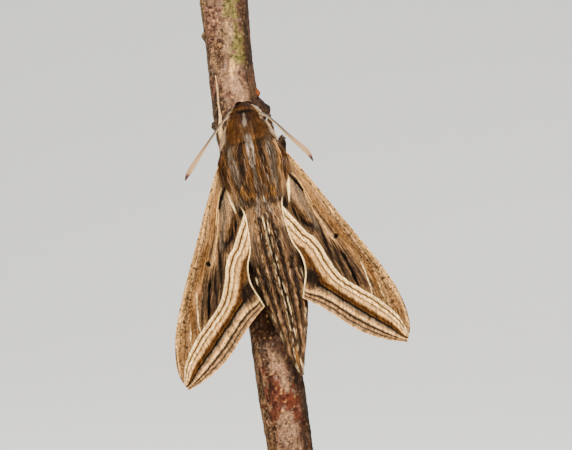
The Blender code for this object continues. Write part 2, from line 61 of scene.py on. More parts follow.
# Body sections: Y, middle Z, half width, half height, and how far the middle lies to the right
HEAD = [
    (9.95, 7.85, 0.0, 0.0, 0.0), (9.8, 7.9, 0.55, 0.8, 0.0), (9.4, 8.0, 1.05, 1.3, 0.0),
    (8.9, 8.15, 1.45, 1.7, 0.0), (8.3, 8.25, 1.95, 2.0, 0.0), (7.7, 8.25, 2.2, 2.1, 0.0),
    (7.25, 8.2, 2.25, 2.1, 0.05),
]
THORAX = [
    (6.7, 8.25, 2.4, 2.2, 0.1), (6.0, 8.35, 2.65, 2.45, 0.1), (4.6, 8.5, 3.2, 2.95, 0.05),
    (2.9, 8.65, 3.85, 3.4, 0.0), (0.6, 8.75, 4.15, 3.65, 0.0), (-1.8, 8.6, 4.0, 3.5, 0.0),
    (-4.2, 8.2, 3.45, 3.05, 0.0),
]
ABDOMEN = [
    (-6.5, 7.9, 3.55, 2.95, 0.0), (-9.0, 7.6, 3.85, 3.1, 0.0), (-12.0, 7.3, 3.9, 3.1, 0.05),
    (-16.0, 6.8, 3.8, 2.85, 0.2), (-20.0, 6.25, 3.05, 2.35, 0.4), (-24.0, 5.6, 2.15, 1.75, 0.4),
    (-27.0, 5.1, 1.35, 1.1, 0.3), (-28.4, 4.85, 0.95, 0.75, 0.2), (-30.0, 4.7, 0.5, 0.45, 0.25),
    (-30.6, 4.7, 0.25, 0.25, 0.3), (-30.8, 4.7, 0.0, 0.0, 0.3),
]
TERGITES = [-4.5, -7.6, -10.8, -14.0, -17.1, -20.2, -23.2, -26.0]
SKIN_DEPTH = 0.3

EYE_PLACE = Vector((1.45, 8.2, 7.4))
EYE_RADIUS = 1.08
COIL_PLACE = Vector((0.0, 8.6, 5.0))
COIL_RADIUS = 0.75
ANTENNA_RIGHT = [
    (2.75, 7.75, 9.5, 0.17), (3.2, 7.35, 9.7, 0.17), (3.77, 6.83, 9.7, 0.18), (4.91, 5.31, 9.45, 0.21),
    (5.96, 3.76, 9.15, 0.27), (7.15, 2.13, 8.85, 0.36), (8.08, 0.86, 8.55, 0.4), (8.55, -0.1, 8.4, 0.27),
    (8.76, -0.9, 8.2, 0.07),
]
ANTENNA_LEFT = [
    (2.2, 8.25, 9.55, 0.17), (2.9, 7.7, 9.75, 0.17), (4.0, 6.75, 9.7, 0.18), (5.5, 5.35, 9.45, 0.21),
    (6.9, 4.05, 9.15, 0.27), (8.1, 2.85, 8.85, 0.36), (9.2, 1.75, 8.6, 0.4), (9.95, 0.95, 8.4, 0.27),
    (10.35, 0.35, 8.2, 0.07),
]
PALP = [
    (0.95, 8.1, 5.2, 0.3), (0.95, 8.6, 5.4, 0.45), (0.8, 9.1, 6.0, 0.6), (0.66, 9.25, 6.8, 0.64),
    (0.58, 9.2, 7.4, 0.5), (0.5, 9.1, 7.8, 0.25),
]

# Wing outlines in the moth's XY plane, on its right
FORE_COSTA = [
    (5.1, 1.5), (6.25, -0.4), (8.3, -4.2), (10.9, -9.3), (13.2, -13.7), (15.3, -17.9), (16.9, -21.8),
    (17.7, -25.6), (17.6, -28.3), (16.75, -30.3),
]
FORE_INNER = [
    (4.75, -0.9), (4.4, -2.9), (3.35, -4.6), (2.75, -6.3), (2.78, -9.4), (3.1, -11.8), (3.9, -13.8),
    (4.15, -15.5), (4.0, -17.0), (3.45, -18.6), (2.87, -20.35),
]
FORE_OUTER = [
    (16.75, -30.3), (14.4, -29.5), (11.8, -28.2), (9.4, -26.4), (7.25, -24.2), (5.2, -22.2), (2.87, -20.35),
]
HIND_COSTA = [(5.1, -0.6), (6.7, -4.0), (8.9, -9.0), (11.0, -14.0), (12.4, -18.0), (12.7, -20.8)]
HIND_INNER = [(4.75, -1.7), (4.6, -4.0), (4.6, -7.5), (4.62, -12.0), (4.7, -16.0), (4.8, -19.4)]
HIND_OUTER = [(12.7, -20.8), (11.4, -22.6), (9.0, -23.0), (6.6, -21.8), (4.8, -19.4)]
ROOF_INNER_X = 2.7
ROOF_HEIGHT = [
    (-30.3, 6.7), (-25.0, 7.3), (-20.35, 8.1), (-16.0, 9.3), (-12.0, 10.15), (-9.5, 10.6), (-7.0, 10.8),
    (-3.0, 10.55), (1.6, 9.9),
]
ROOF_FALL = [(-30.3, 0.27), (-20.0, 0.30), (-14.0, 0.35), (-9.0, 0.40), (-4.0, 0.45), (1.6, 0.46)]
HIND_BELOW = 1.15
WING_THICKNESS = 0.1

# Veins: place across the wing from its front edge, and the stretch of the wing's length that each runs
FORE_VEINS = [
    (0.05, 0.0, 0.8), (0.13, 0.0, 1.0), (0.22, 0.45, 1.0), (0.32, 0.45, 1.0), (0.43, 0.48, 1.0),
    (0.55, 0.0, 1.0), (0.67, 0.4, 1.0), (0.79, 0.25, 1.0), (0.92, 0.0, 1.0),
]
HIND_VEINS = [
    (0.08, 0.0, 1.0), (0.26, 0.4, 1.0), (0.42, 0.0, 1.0), (0.58, 0.4, 1.0), (0.74, 0.0, 1.0), (0.9, 0.0, 1.0),
]

# The silver band: its upper edge across the forewing, and its full width
BAND_EDGE = [
    (2.75, -6.01), (4.2, -8.55), (5.54, -10.86), (6.3, -11.58), (7.21, -13.25), (7.88, -15.24),
    (8.82, -17.66), (9.93, -19.2), (11.47, -20.63), (13.29, -22.32), (14.77, -23.94), (15.9, -25.48),
    (16.68, -26.95), (17.12, -29.06),
]
BAND_WIDTH = 6.1
# Shares of that width that follow the upper edge and the outer edge where the band is wider
BAND_UPPER = 0.43
BAND_LOWER = 0.39
# Tones across the band from its upper edge to the wing's outer edge
BAND_TONES = [
    (0.0, "umber"), (0.014, "cream"), (0.085, "silver"), (0.105, "brown"), (0.128, "brown"),
    (0.15, "silver"), (0.19, "cream"), (0.215, "silver"), (0.232, "brown"), (0.252, "tan"),
    (0.285, "silver"), (0.325, "silver"), (0.36, "tan"), (0.39, "gold"), (0.44, "rust"), (0.475, "gold"),
    (0.5, "black"), (0.53, "umber"), (0.56, "taupe"), (0.625, "tan"), (0.67, "silver"), (0.7, "silver"),
    (0.73, "taupe"), (0.755, "umber"), (0.78, "brown"), (0.81, "tan"), (0.845, "tan"), (0.875, "umber"),
    (0.9, "taupe"), (0.93, "tan"), (0.965, "tan"), (0.985, "silver"),
]

# Marks on the forewing over its ground, mirrored: tone, soft edge, strength, and points with half widths.
# Those with an edge sharper than SHARP_EDGE lie over the fine streaks, the others under them.
SHARP_EDGE = 0.2
FORE_MARKS = [
    ("tan", 0.5, 0.85, [(5.7, 0.1, 0.8), (8.4, -5.4, 1.0), (11.4, -10.6, 1.0), (14.7, -16.5, 0.8),
        (17.2, -24.0, 0.3)]),
    ("brown", 0.5, 0.6, [(5.6, 0.3, 0.6), (7.4, -3.0, 0.6), (9.4, -7.0, 0.2)]),
    ("silver", 0.3, 0.65, [(5.8, 0.0, 0.3), (8.3, -4.8, 0.4), (10.7, -9.6, 0.45), (13.0, -14.0, 0.45),
        (15.0, -18.2, 0.4), (16.9, -23.5, 0.2)]),
    ("ochre", 0.25, 0.95, [(6.1, -2.0, 0.3), (8.0, -7.2, 0.5), (10.2, -11.9, 0.55), (13.4, -18.5, 0.6),
        (16.8, -25.0, 0.3)]),
    ("gold", 0.2, 0.6, [(7.8, -6.8, 0.1), (9.2, -9.9, 0.25), (10.2, -11.6, 0.3), (11.0, -13.2, 0.2),
        (12.6, -16.2, 0.1)]),
    ("taupe", 0.4, 0.8, [(4.6, -1.5, 0.4), (5.2, -4.5, 1.0), (6.2, -7.8, 0.9), (7.2, -10.4, 0.4)]),
    ("tan", 0.25, 0.7, [(4.5, -1.5, 0.3), (4.9, -4.5, 0.4), (5.6, -7.4, 0.35), (6.3, -9.4, 0.15)]),
    ("tan", 0.2, 0.7, [(6.2, -4.2, 0.1), (7.0, -7.4, 0.35), (8.0, -10.2, 0.3), (9.0, -12.6, 0.12)]),
    ("umber", 0.4, 0.95, [(2.7, -4.9, 0.3), (3.5, -6.0, 0.7), (4.6, -7.4, 0.8), (5.6, -9.1, 0.75),
        (6.7, -11.0, 0.25)]),
    ("black", 0.4, 0.8, [(3.0, -5.3, 0.3), (3.9, -6.6, 0.4), (4.9, -8.2, 0.4), (5.7, -9.8, 0.3)]),
    ("gold", 0.25, 0.5, [(3.9, -5.9, 0.06), (4.9, -7.4, 0.14), (6.0, -9.6, 0.08)]),
    ("ochre", 0.25, 0.5, [(4.6, -6.0, 0.06), (5.6, -7.6, 0.14), (6.5, -9.6, 0.06)]),
    ("black", 0.1, 1.0, [(4.5, -1.2, 0.1), (5.5, -3.05, 0.22), (6.35, -4.75, 0.2), (7.05, -6.3, 0.12),
        (7.3, -7.0, 0.03)]),
    ("umber", 0.1, 0.8, [(6.9, -7.0, 0.04), (7.4, -9.0, 0.12), (7.8, -11.0, 0.12), (8.0, -13.0, 0.14),
        (8.5, -15.5, 0.08)]),
    ("silver", 0.08, 0.8, [(5.4, -1.9, 0.05), (6.2, -3.4, 0.08), (6.85, -5.2, 0.08), (7.4, -7.2, 0.04)]),
    ("cream", 0.1, 1.0, [(4.5, -1.2, 0.1), (4.5, -2.6, 0.26), (4.35, -4.4, 0.2), (4.05, -5.9, 0.05)]),
    ("silver", 0.08, 0.8, [(6.5, -4.9, 0.05), (7.19, -7.6, 0.09), (7.98, -10.0, 0.09), (8.56, -11.7, 0.08),
        (9.8, -13.9, 0.04)]),
    ("umber", 0.19, 0.45, [(6.9, -7.1, 0.1), (6.8, -8.6, 0.2), (6.7, -10.3, 0.2), (6.4, -11.4, 0.1)]),
    ("umber", 0.12, 0.9, [(7.7, -10.5, 0.06), (7.95, -13.0, 0.24), (8.3, -15.0, 0.16), (8.7, -16.6, 0.06)]),
    ("umber", 0.12, 0.9, [(8.7, -12.6, 0.05), (9.3, -15.4, 0.24), (9.6, -17.4, 0.18), (9.9, -18.6, 0.06)]),
    ("black", 0.1, 1.0, [(9.5, -13.2, 0.06), (10.1, -15.3, 0.18), (10.7, -17.4, 0.22), (11.2, -19.4, 0.28),
        (11.4, -20.4, 0.12)]),
    ("umber", 0.1, 0.7, [(11.2, -15.6, 0.05), (11.9, -18.4, 0.12), (12.4, -21.0, 0.06)]),
    ("cream", 0.07, 0.9, [(12.3, -16.2, 0.02), (12.75, -18.5, 0.07), (13.05, -20.5, 0.08),
        (13.15, -22.0, 0.04)]),
    ("gold", 0.18, 0.7, [(13.2, -16.2, 0.08), (13.75, -18.5, 0.28), (14.0, -20.8, 0.22), (14.6, -22.8, 0.08)]),
    ("cream", 0.07, 0.8, [(14.3, -20.6, 0.02), (14.65, -22.2, 0.06), (15.0, -23.7, 0.03)]),
    ("umber", 0.12, 0.7, [(12.3, -18.8, 0.05), (12.5, -20.4, 0.12), (12.7, -21.6, 0.05)]),
    ("umber", 0.1, 0.7, [(15.0, -21.0, 0.05), (15.7, -23.4, 0.12), (16.4, -25.8, 0.05)]),
    ("black", 0.06, 1.0, [(9.7, -12.4, 0.3), (9.62, -12.6, 0.3)]),
    ("silver", 0.07, 0.9, [(5.2, 1.3, 0.1), (8.4, -4.2, 0.13), (13.3, -13.7, 0.13), (16.9, -21.8, 0.12),
        (17.65, -28.0, 0.08)]),
    ("gold", 0.3, 0.8, [(3.4, -10.5, 0.1), (4.3, -13.6, 0.35), (5.0, -15.6, 0.45), (6.2, -17.6, 0.3)]),
    ("umber", 0.6, 0.95, [(4.5, -16.6, 0.5), (4.8, -17.6, 1.2), (6.2, -18.9, 0.9), (8.0, -20.6, 0.5)]),
]
HIND_MARKS = [
    ("umber", 0.6, 0.9, [(12.7, -16.5, 0.5), (11.6, -20.6, 1.1), (8.8, -21.6, 1.1), (5.0, -19.0, 0.9)]),
    ("umber", 0.4, 0.8, [(11.0, -13.4, 0.3), (9.6, -16.6, 0.5), (6.4, -16.4, 0.5), (4.6, -14.0, 0.4)]),
    ("umber", 0.5, 0.8, [(5.0, -1.0, 0.8), (5.4, -4.5, 1.0), (5.2, -7.0, 0.5)]),
    ("cream", 0.2, 0.7, [(12.7, -20.9, 0.1), (9.0, -23.0, 0.15), (4.8, -19.4, 0.12)]),
]

# Marks on the body, drawn on the straight body seen from its back, mirrored
BODY_MARKS = [
    ("gold", 1.0, 0.4, [(0.0, 4.5, 4.5), (0.0, -4.0, 4.5)]),
    ("sand", 0.8, 1.0, [(0.0, -7.2, 5.0), (0.0, -30.0, 5.0)]),
    ("rust", 0.25, 1.0, [(0.0, 9.9, 0.6), (0.0, 9.2, 1.1), (0.0, 8.5, 1.8)]),
    ("umber", 0.4, 0.5, [(0.0, 9.9, 0.6), (0.0, 9.2, 1.0), (0.0, 8.4, 1.6)]),
    ("gold", 0.1, 0.75, [(0.0, 9.0, 0.12), (1.0, 8.95, 0.12), (1.8, 8.4, 0.12)]),
    ("black", 0.12, 0.95, [(0.0, 8.4, 0.28), (0.7, 8.45, 0.26), (1.6, 8.05, 0.16)]),
    ("pearl", 0.1, 0.9, [(0.85, 10.1, 0.1), (1.6, 9.4, 0.14), (2.3, 8.5, 0.2), (2.6, 7.4, 0.25)]),
    ("rust", 0.2, 1.0, [(1.15, 7.9, 0.5), (1.7, 6.8, 0.95), (1.75, 5.6, 0.95), (1.2, 4.9, 0.4)]),
    ("gold", 0.35, 0.45, [(1.5, 7.4, 0.25), (1.8, 6.4, 0.45), (1.8, 5.6, 0.45), (1.2, 4.9, 0.3)]),
    ("gold", 0.2, 0.7, [(2.5, 5.5, 0.12), (1.8, 4.5, 0.2), (0.7, 4.6, 0.2)]),
    ("umber", 0.12, 0.7, [(2.4, 4.6, 0.1), (1.7, 3.9, 0.15), (0.8, 4.05, 0.12)]),
    ("pearl", 0.14, 0.72, [(0.1, 8.1, 0.06), (0.1, 7.2, 0.15), (0.03, 6.4, 0.08)]),
    ("pearl", 0.2, 0.95, [(2.7, 7.2, 0.3), (3.1, 6.0, 0.5), (3.2, 4.8, 0.4)]),
    ("taupe", 0.15, 1.0, [(0.0, 4.7, 0.42), (0.0, 3.4, 0.42), (0.0, 0.4, 0.26), (0.0, -2.6, 0.14)]),
    ("pearl", 0.16, 0.72, [(0.1, 4.7, 0.3), (0.25, 3.8, 0.2), (0.32, 2.6, 0.08), (0.26, 0.4, 0.05)]),
    ("umber", 0.2, 0.9, [(1.1, 3.9, 0.3), (1.3, 2.0, 0.4), (1.5, 0.2, 0.35), (1.6, -1.4, 0.15)]),
    ("gold", 0.2, 0.6, [(0.85, 3.8, 0.16), (0.8, 1.4, 0.24), (0.6, -1.0, 0.26), (0.6, -2.6, 0.2)]),
    ("taupe", 0.2, 0.9, [(2.6, 4.0, 0.25), (2.5, 1.2, 0.4), (2.2, -1.4, 0.4), (1.9, -3.2, 0.3)]),
    ("pearl", 0.15, 0.25, [(2.3, 2.6, 0.06), (2.2, 0.6, 0.12), (1.9, -2.4, 0.1)]),
    ("rust", 0.2, 0.95, [(4.0, 3.4, 0.3), (3.85, 0.5, 0.45), (3.7, -2.3, 0.35), (3.6, -4.0, 0.2)]),
    ("gold", 0.15, 0.6, [(4.1, 2.8, 0.1), (3.85, 0.2, 0.2), (3.5, -3.0, 0.2)]),
    ("amber", 0.05, 0.95, [(3.55, 4.0, 0.05), (3.25, 2.2, 0.07), (3.1, 0.4, 0.07), (3.15, -2.4, 0.05)]),
    ("pearl", 0.12, 0.9, [(3.2, 6.2, 0.1), (4.3, 4.2, 0.2), (4.9, 1.0, 0.16), (4.8, -2.0, 0.2)]),
    ("tan", 0.3, 0.85, [(3.0, -0.6, 0.1), (3.1, -2.4, 0.35), (2.9, -4.6, 0.35)]),
    ("gold", 0.2, 0.8, [(1.9, -2.6, 0.1), (1.45, -3.4, 0.25), (1.0, -3.9, 0.1)]),
    ("black", 0.1, 0.8, [(0.75, -3.7, 0.05), (0.6, -4.4, 0.16)]),
    ("tan", 0.35, 0.8, [(0.0, -4.9, 0.4), (0.9, -6.0, 0.9), (1.8, -8.4, 0.6)]),
    ("pearl", 0.3, 0.7, [(0.4, -4.4, 0.2), (0.6, -5.4, 0.5), (0.9, -6.8, 0.3)]),
    ("umber", 0.15, 0.8, [(0.3, -5.6, 0.05), (0.4, -6.8, 0.15), (0.45, -8.0, 0.2)]),
    ("taupe", 0.4, 0.9, [(2.7, -4.6, 0.8), (2.7, -9.0, 0.8), (3.1, -12.6, 0.3)]),
    ("tan", 0.25, 0.85, [(2.3, -5.0, 0.35), (2.5, -9.0, 0.4), (2.9, -12.4, 0.15)]),
    ("umber", 0.2, 0.9, [(0.85, -7.0, 0.25), (0.95, -12.0, 0.3), (0.85, -18.0, 0.25), (0.6, -28.0, 0.12)]),
    ("umber", 0.25, 0.85, [(2.3, -13.6, 0.3), (2.2, -18.0, 0.3), (1.4, -24.0, 0.15)]),
    ("umber", 0.2, 0.8, [(3.3, -12.6, 0.3), (3.1, -17.0, 0.35), (2.5, -21.0, 0.2)]),
    ("tan", 0.15, 0.85, [(1.55, -7.0, 0.15), (1.6, -12.0, 0.16), (1.5, -19.0, 0.14), (0.9, -28.0, 0.12)]),
    ("tan", 0.12, 0.7, [(2.75, -13.8, 0.1), (2.6, -18.0, 0.14), (1.9, -23.5, 0.1)]),
    ("tan", 0.12, 0.6, [(0.6, -8.0, 0.08), (0.62, -18.0, 0.1), (0.5, -27.0, 0.08)]),
    ("black", 0.06, 0.95, [(0.0, -7.0, 0.16), (0.0, -25.0, 0.14)]),
    ("amber", 0.1, 0.55, [(0.0, -27.4, 0.1), (0.0, -29.4, 0.16)]),
]


def spline(points, count):
    """Evenly spaced points on a smooth curve through the given ones, of any dimension."""
    knots = np.array(points, float)
    ends = np.vstack([2 * knots[0] - knots[1], knots, 2 * knots[-1] - knots[-2]])
    t = np.linspace(0, 1, 24, endpoint=False)[:, None]
    pieces = []
    for a, b, c, d in zip(ends, ends[1:], ends[2:], ends[3:]):
        square, cube = 2 * a - 5 * b + 4 * c - d, 3 * b - a - 3 * c + d
        pieces.append(0.5 * (2 * b + (c - a) * t + square * t**2 + cube * t**3))
    fine = np.vstack([*pieces, knots[-1:]])
    length = np.concatenate([[0], np.cumsum(np.linalg.norm(np.diff(fine, axis=0), axis=1))])
    at = np.linspace(0, length[-1], count)
    return np.column_stack([np.interp(at, length, column) for column in fine.T])


def smooth(value, low, high):
    """0 below low, 1 above high, and an even rise between."""
    t = np.clip((value - low) / (high - low), 0, 1)
    return t * t * (3 - 2 * t)


def unit(rows):
    return rows / np.maximum(np.linalg.norm(rows, axis=-1, keepdims=True), 1e-12)


def mottle(at, scale, seed=0):
    """Smooth noise from -1 to 1 at points given as rows of three."""
    places = np.asarray(at, float) * scale + seed * 7.31
    cell = np.floor(places)
    part = places - cell
    part = part * part * (3 - 2 * part)
    total = np.zeros(len(places))
    for corner in np.ndindex(2, 2, 2):
        hashed = np.sin((cell + corner) @ np.array([127.1, 311.7, 74.7]) + seed) * 43758.5453
        weight = np.prod(np.where(corner, part, 1 - part), axis=1)
        total += weight * (hashed - np.floor(hashed))
    return total * 2 - 1


def distance_to(points, line):
    """Distance from each point to a polyline of (x, y, half width) less the half width there."""
    best = np.full(len(points), 1e9)
    for (ax, ay, aw), (bx, by, bw) in zip(line, line[1:]):
        step = np.array((bx - ax, by - ay))
        off = points - np.array((ax, ay))
        t = np.clip(off @ step / (step @ step), 0, 1)
        best = np.minimum(best, np.linalg.norm(off - t[:, None] * step, axis=1) - (aw + (bw - aw) * t))
    return best


def level(points):
    """Points (x, y) with a third coordinate of nothing."""
    return np.column_stack([points, np.zeros(len(points))])


def over(colour, other, cover):
    """Colours with another laid over them, as far as the cover says at each point."""
    return colour + (other - colour) * cover[:, None]


def painted(points, ground, marks, tones, waver=0.12):
    """Colours at (x, y) points: the ground, with each mark laid over it in turn."""
    flat = level(points)
    shake = np.column_stack([mottle(flat, (2.6, 0.9, 1), 3), mottle(flat, (1.4, 0.8, 1), 5)]) * waver
    places = np.column_stack([np.abs(points[:, 0]), points[:, 1]]) + shake
    for tone_name, soft, strength, line in marks:
        ground = over(ground, tones[tone_name], strength * smooth(-distance_to(places, line), -soft, soft))
    return ground


def to_world(points):
    """Points in the moth's frame, in millimetres, as points in the world in metres."""
    rotation = Matrix.Rotation(-MOTH_TURN, 3, "Y") @ Matrix.Rotation(math.pi / 2, 3, "X")
    turn = np.array(rotation)
    return points @ turn.T * MM + np.array(MOTH_PLACE)


def turned_head(points, whole=False):
    """Turns what belongs to the head a little to the right about the neck."""
    share = np.ones(len(points)) if whole else smooth(points[:, 1], 6.3, 7.3)
    angle = -HEAD_TURN * share
    off = points - NECK
    x = off[:, 0] * np.cos(angle) - off[:, 1] * np.sin(angle)
    y = off[:, 0] * np.sin(angle) + off[:, 1] * np.cos(angle)
    return np.column_stack([x, y, off[:, 2]]) + NECK


def points_of(mesh):
    flat = np.empty(len(mesh.vertices) * 3)
    mesh.vertices.foreach_get("co", flat)
    return flat.reshape(-1, 3)


def put_points(mesh, points):
    mesh.vertices.foreach_set("co", np.ascontiguousarray(points, float).ravel())
    mesh.update()


def put(mesh, name, values):
    """Stores numbers or colours at a mesh's points."""
    values = np.asarray(values, float)
    if values.ndim == 1:
        mesh.attributes.new(name, "FLOAT", "POINT").data.foreach_set("value", values)
    elif name.startswith("lie"):
        mesh.attributes.new(name, "FLOAT_VECTOR", "POINT").data.foreach_set("vector", values.ravel())
    else:
        full = np.column_stack([values, np.ones(len(values))])
        mesh.attributes.new(name, "FLOAT_COLOR", "POINT").data.foreach_set("color", full.ravel())


def mesh_from(bm, name):
    """A mesh made from a bmesh, which is then freed."""
    made = bpy.data.meshes.new(name)
    bm.to_mesh(made)
    bm.free()
    return made


def sheet(name, across, along, place):
    """A grid mesh whose points come from place(u, v), where u and v run from 0 to 1 across and along it."""
    bm = bmesh.new()
    bmesh.ops.create_grid(bm, x_segments=across, y_segments=along, size=1.0)
    mesh = mesh_from(bm, name)
    at = (points_of(mesh)[:, :2] + 1) / 2
    put_points(mesh, place(at[:, 0], at[:, 1]))
    put(mesh, "u", at[:, 0])
    put(mesh, "v", at[:, 1])
    return mesh


def place_in(mesh):
    """The u and the v of a sheet's points."""
    both = np.zeros((2, len(mesh.vertices)))
    for row, name in zip(both, "uv"):
        mesh.attributes[name].data.foreach_get("value", row)
    return both


def closed(mesh):
    """Joins a rolled sheet along its seam, fills its ends and turns its faces outwards."""
    bm = bmesh.new()
    bm.from_mesh(mesh)
    bmesh.ops.remove_doubles(bm, verts=bm.verts, dist=0.0005 * MM)
    rims = [edge for edge in bm.edges if edge.is_boundary]
    if rims:
        bmesh.ops.holes_fill(bm, edges=rims, sides=0)
    bmesh.ops.recalc_face_normals(bm, faces=bm.faces)
    bm.to_mesh(mesh)
    bm.free()
    return mesh


def piece(mesh, finish, nodes=(), sharp=60):
    """Puts a mesh in the scene as a piece that rides on the part's body and stands for the named nodes."""
    mesh.shade_smooth()
    mesh.set_sharp_from_angle(angle=math.radians(sharp))
    mesh.materials.append(finish)
    made = bpy.data.objects.new(mesh.name, mesh)
    bpy.context.scene.collection.objects.link(made)
    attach(made, "root")
    if nodes:
        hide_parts(*nodes)
    return made


def merged(meshes, name):
    """One mesh from several."""
    bm = bmesh.new()
    for mesh in meshes:
        bm.from_mesh(mesh)
        bpy.data.meshes.remove(mesh)
    return mesh_from(bm, name)


def tube(name, path, radius, sides, upward=(0, 0, 1), patch=1.0):
    """A closed tube round a path of rows, in the moth's frame. Turn 0 of it faces upward."""
    tangent = unit(np.gradient(path, axis=0))
    side = unit(np.cross(tangent, np.array(upward, float)))
    top = np.cross(side, tangent)
    count = len(path)

    def place(u, v):
        k = np.round(v * (count - 1)).astype(int)
        turn = (u % 1.0)[:, None] * math.tau
        return to_world(path[k] + radius[k][:, None] * (top[k] * np.cos(turn) + side[k] * np.sin(turn)))

    mesh = sheet(name, sides, count - 1, place)
    corner = np.zeros(len(mesh.loops), int)
    mesh.loops.foreach_get("vertex_index", corner)
    unwrap = place_in(mesh).T[corner] * patch
    mesh.uv_layers.new(name="OFBake").data.foreach_set("uv", unwrap.ravel())
    return closed(mesh)


def hairs(name, lines, up, width, tint, root_uv):
    """Many tapered tufts in one mesh: each a bent, three-sided blade along its own row of points."""
    count, steps, _ = lines.shape
    along = unit(lines[:, -1] - lines[:, 0])
    side = unit(np.cross(along, up))
    t = np.linspace(0, 1, steps)
    spread = np.interp(t[:-1], [0, 0.3, 1], [0.7, 1.0, 0.3])
    half = 0.5 * width[:, None, None] * spread[None, :, None]
    body = lines[:, :-1]
    low = half * side[:, None]
    rings = np.stack([body - low, body + half * 0.9 * up[:, None], body + low], axis=2)
    points = np.concatenate([rings.reshape(count, -1, 3), lines[:, -1:]], axis=1)
    each = points.shape[1]
    faces = [(0, 1, 2)]
    for ring in range(steps - 2):
        for k in range(3):
            a, b = 3 * ring + k, 3 * ring + (k + 1) % 3
            faces += [(a, a + 3, b), (b, a + 3, b + 3)]
    last = 3 * (steps - 2)
    faces += [(last + k, each - 1, last + (k + 1) % 3) for k in range(3)]
    faces = (np.array(faces)[None] + each * np.arange(count)[:, None, None]).reshape(-1, 3)
    mesh = bpy.data.meshes.new(name)
    mesh.vertices.add(count * each)
    put_points(mesh, to_world(points.reshape(-1, 3)))
    mesh.loops.add(faces.size)
    mesh.loops.foreach_set("vertex_index", faces.ravel())
    mesh.polygons.add(len(faces))
    mesh.polygons.foreach_set("loop_start", np.arange(0, faces.size, 3))
    mesh.update(calc_edges=True)
    place = np.append(np.repeat(t[:-1], 3), 1.0)
    # Place along each tuft, 0 at the root: the coat finish darkens towards the root as painted shade.
    put(mesh, "tip", np.tile(place, count))
    put(mesh, "tint", np.repeat(tint, each, axis=0))
    across = np.append(np.tile([-0.0015, 0.0, 0.0015], steps - 1), 0.0)
    shift = np.column_stack([across, (place - 0.5) * 0.003])
    uv = (root_uv[:, None] + shift[None]).reshape(-1, 2)
    mesh.uv_layers.new(name="OFBake").data.foreach_set("uv", uv[faces.ravel()].ravel())
    return mesh


BODY = spline([*HEAD, *THORAX, *ABDOMEN], 400)
BODY_TOP, BODY_END = BODY[0, 0], BODY[-1, 0]


def section(y, *columns):
    """Columns of the body's table of sections at places along it."""
    return [np.interp(-y, -BODY[:, 0], BODY[:, column]) for column in columns]


def body_point(y, turn, out=0.0):
    """Points on the straight body at a distance out of its surface, from its right side up over its back."""
    middle, half_width, half_height, shift = section(y, 1, 2, 3, 4)
    x = shift + np.maximum(half_width + out, 0) * np.cos(turn)
    z = middle + np.maximum(half_height + out, 0) * np.sin(turn)
    return np.column_stack([x, y, z])


def body_tint(points, turn, tones):
    """The markings at points of the straight body, over its back and round to its paler underside."""
    y = points[:, 1]
    edge, shift = section(y, 2, 4)
    x = points[:, 0] - shift
    aside = np.abs(x)
    colour = painted(np.column_stack([x, y]), np.tile(tones["brown"], (len(y), 1)), BODY_MARKS, tones)
    for hind in TERGITES[1:]:
        ring = smooth(-np.abs(y - hind), -0.3, -0.05) * smooth(-aside, -edge, -0.5)
        colour = over(colour, tones["umber"], 0.55 * ring)
    rows = np.column_stack([x > 0, y, 0 * y])
    broken = smooth(mottle(rows * (3.0, 1.6, 1), 1.0, 51), -0.2, 0.0)
    wander = 0.12 * mottle(rows * (5.0, 1.6, 1), 1.0, 53)
    line = smooth(-np.abs(aside - 0.27 - wander), -0.14, -0.04) * broken * smooth(-y, 6.4, 7.0)
    pale = 0.5 * (tones["cream"] + tones["pearl"])
    colour = over(colour, pale, 0.95 * line)
    dashed = smooth(np.sin((y + 17.0) * math.tau / 3.0), 0.1, 0.5)
    dashed = dashed * smooth(-y, 14.5, 15.5) * smooth(y, -27.0, -24.0)
    colour = over(colour, pale, 0.9 * smooth(-np.abs(aside - edge * 0.86), -0.16, -0.05) * dashed)
    flecks = mottle(np.column_stack([x * 4.5, y * 1.6, 0 * y]), 1.0, 57) * smooth(-y, 6.0, 8.0)
    strands = mottle(np.column_stack([turn * 15, y * 0.4, 0 * y]), 1.0, 59) * smooth(y, -6.0, -4.0)
    colour = colour * np.exp(flecks + 0.85 * strands)[:, None]
    return over(colour, tones["sand"] * 1.15, 0.85 * smooth(-np.sin(turn), -0.05, 0.35))


def wing_plan(costa, inner, outer, w, r):
    """Points of a wing patch between its front edge, inner edge, outer edge and root."""
    front, back, rim = spline(costa, 600), spline(inner, 600), spline(outer, 600)
    at = np.linspace(0, 1, 600)

    def along(line, t):
        return np.column_stack([np.interp(t, at, line[:, 0]), np.interp(t, at, line[:, 1])])

    w_, r_ = w[:, None], r[:, None]
    root = front[0] * (1 - w_) + back[0] * w_
    corners = root * (1 - r_) + (rim[0] * (1 - w_) + rim[-1] * w_) * r_
    return along(front, r) * (1 - w_) + along(back, r) * w_ + root * (1 - r_) + along(rim, w) * r_ - corners


def roof(x, y, w, r):
    """Height of the wings' roof, with a soft crown across each wing."""
    fall = np.interp(y, *zip(*ROOF_FALL)) * np.maximum(np.abs(x) - ROOF_INNER_X, -0.5)
    crown = 0.45 * np.sin(math.pi * w) * np.sin(math.pi * np.minimum(r, 1.0) * 0.85)
    return np.interp(y, *zip(*ROOF_HEIGHT)) - fall + crown


def vein_lift(veins, w, r):
    """How far the nearest vein lifts the membrane, from 0 to 1."""
    lift = np.zeros(len(w))
    for place, start, end in veins:
        fade = smooth(r, start - 0.02, start + 0.04) * smooth(-r, -end - 0.02, -end + 0.02)
        lift = np.maximum(lift, np.exp(-(((w - place) / 0.011) ** 2)) * fade)
    return lift


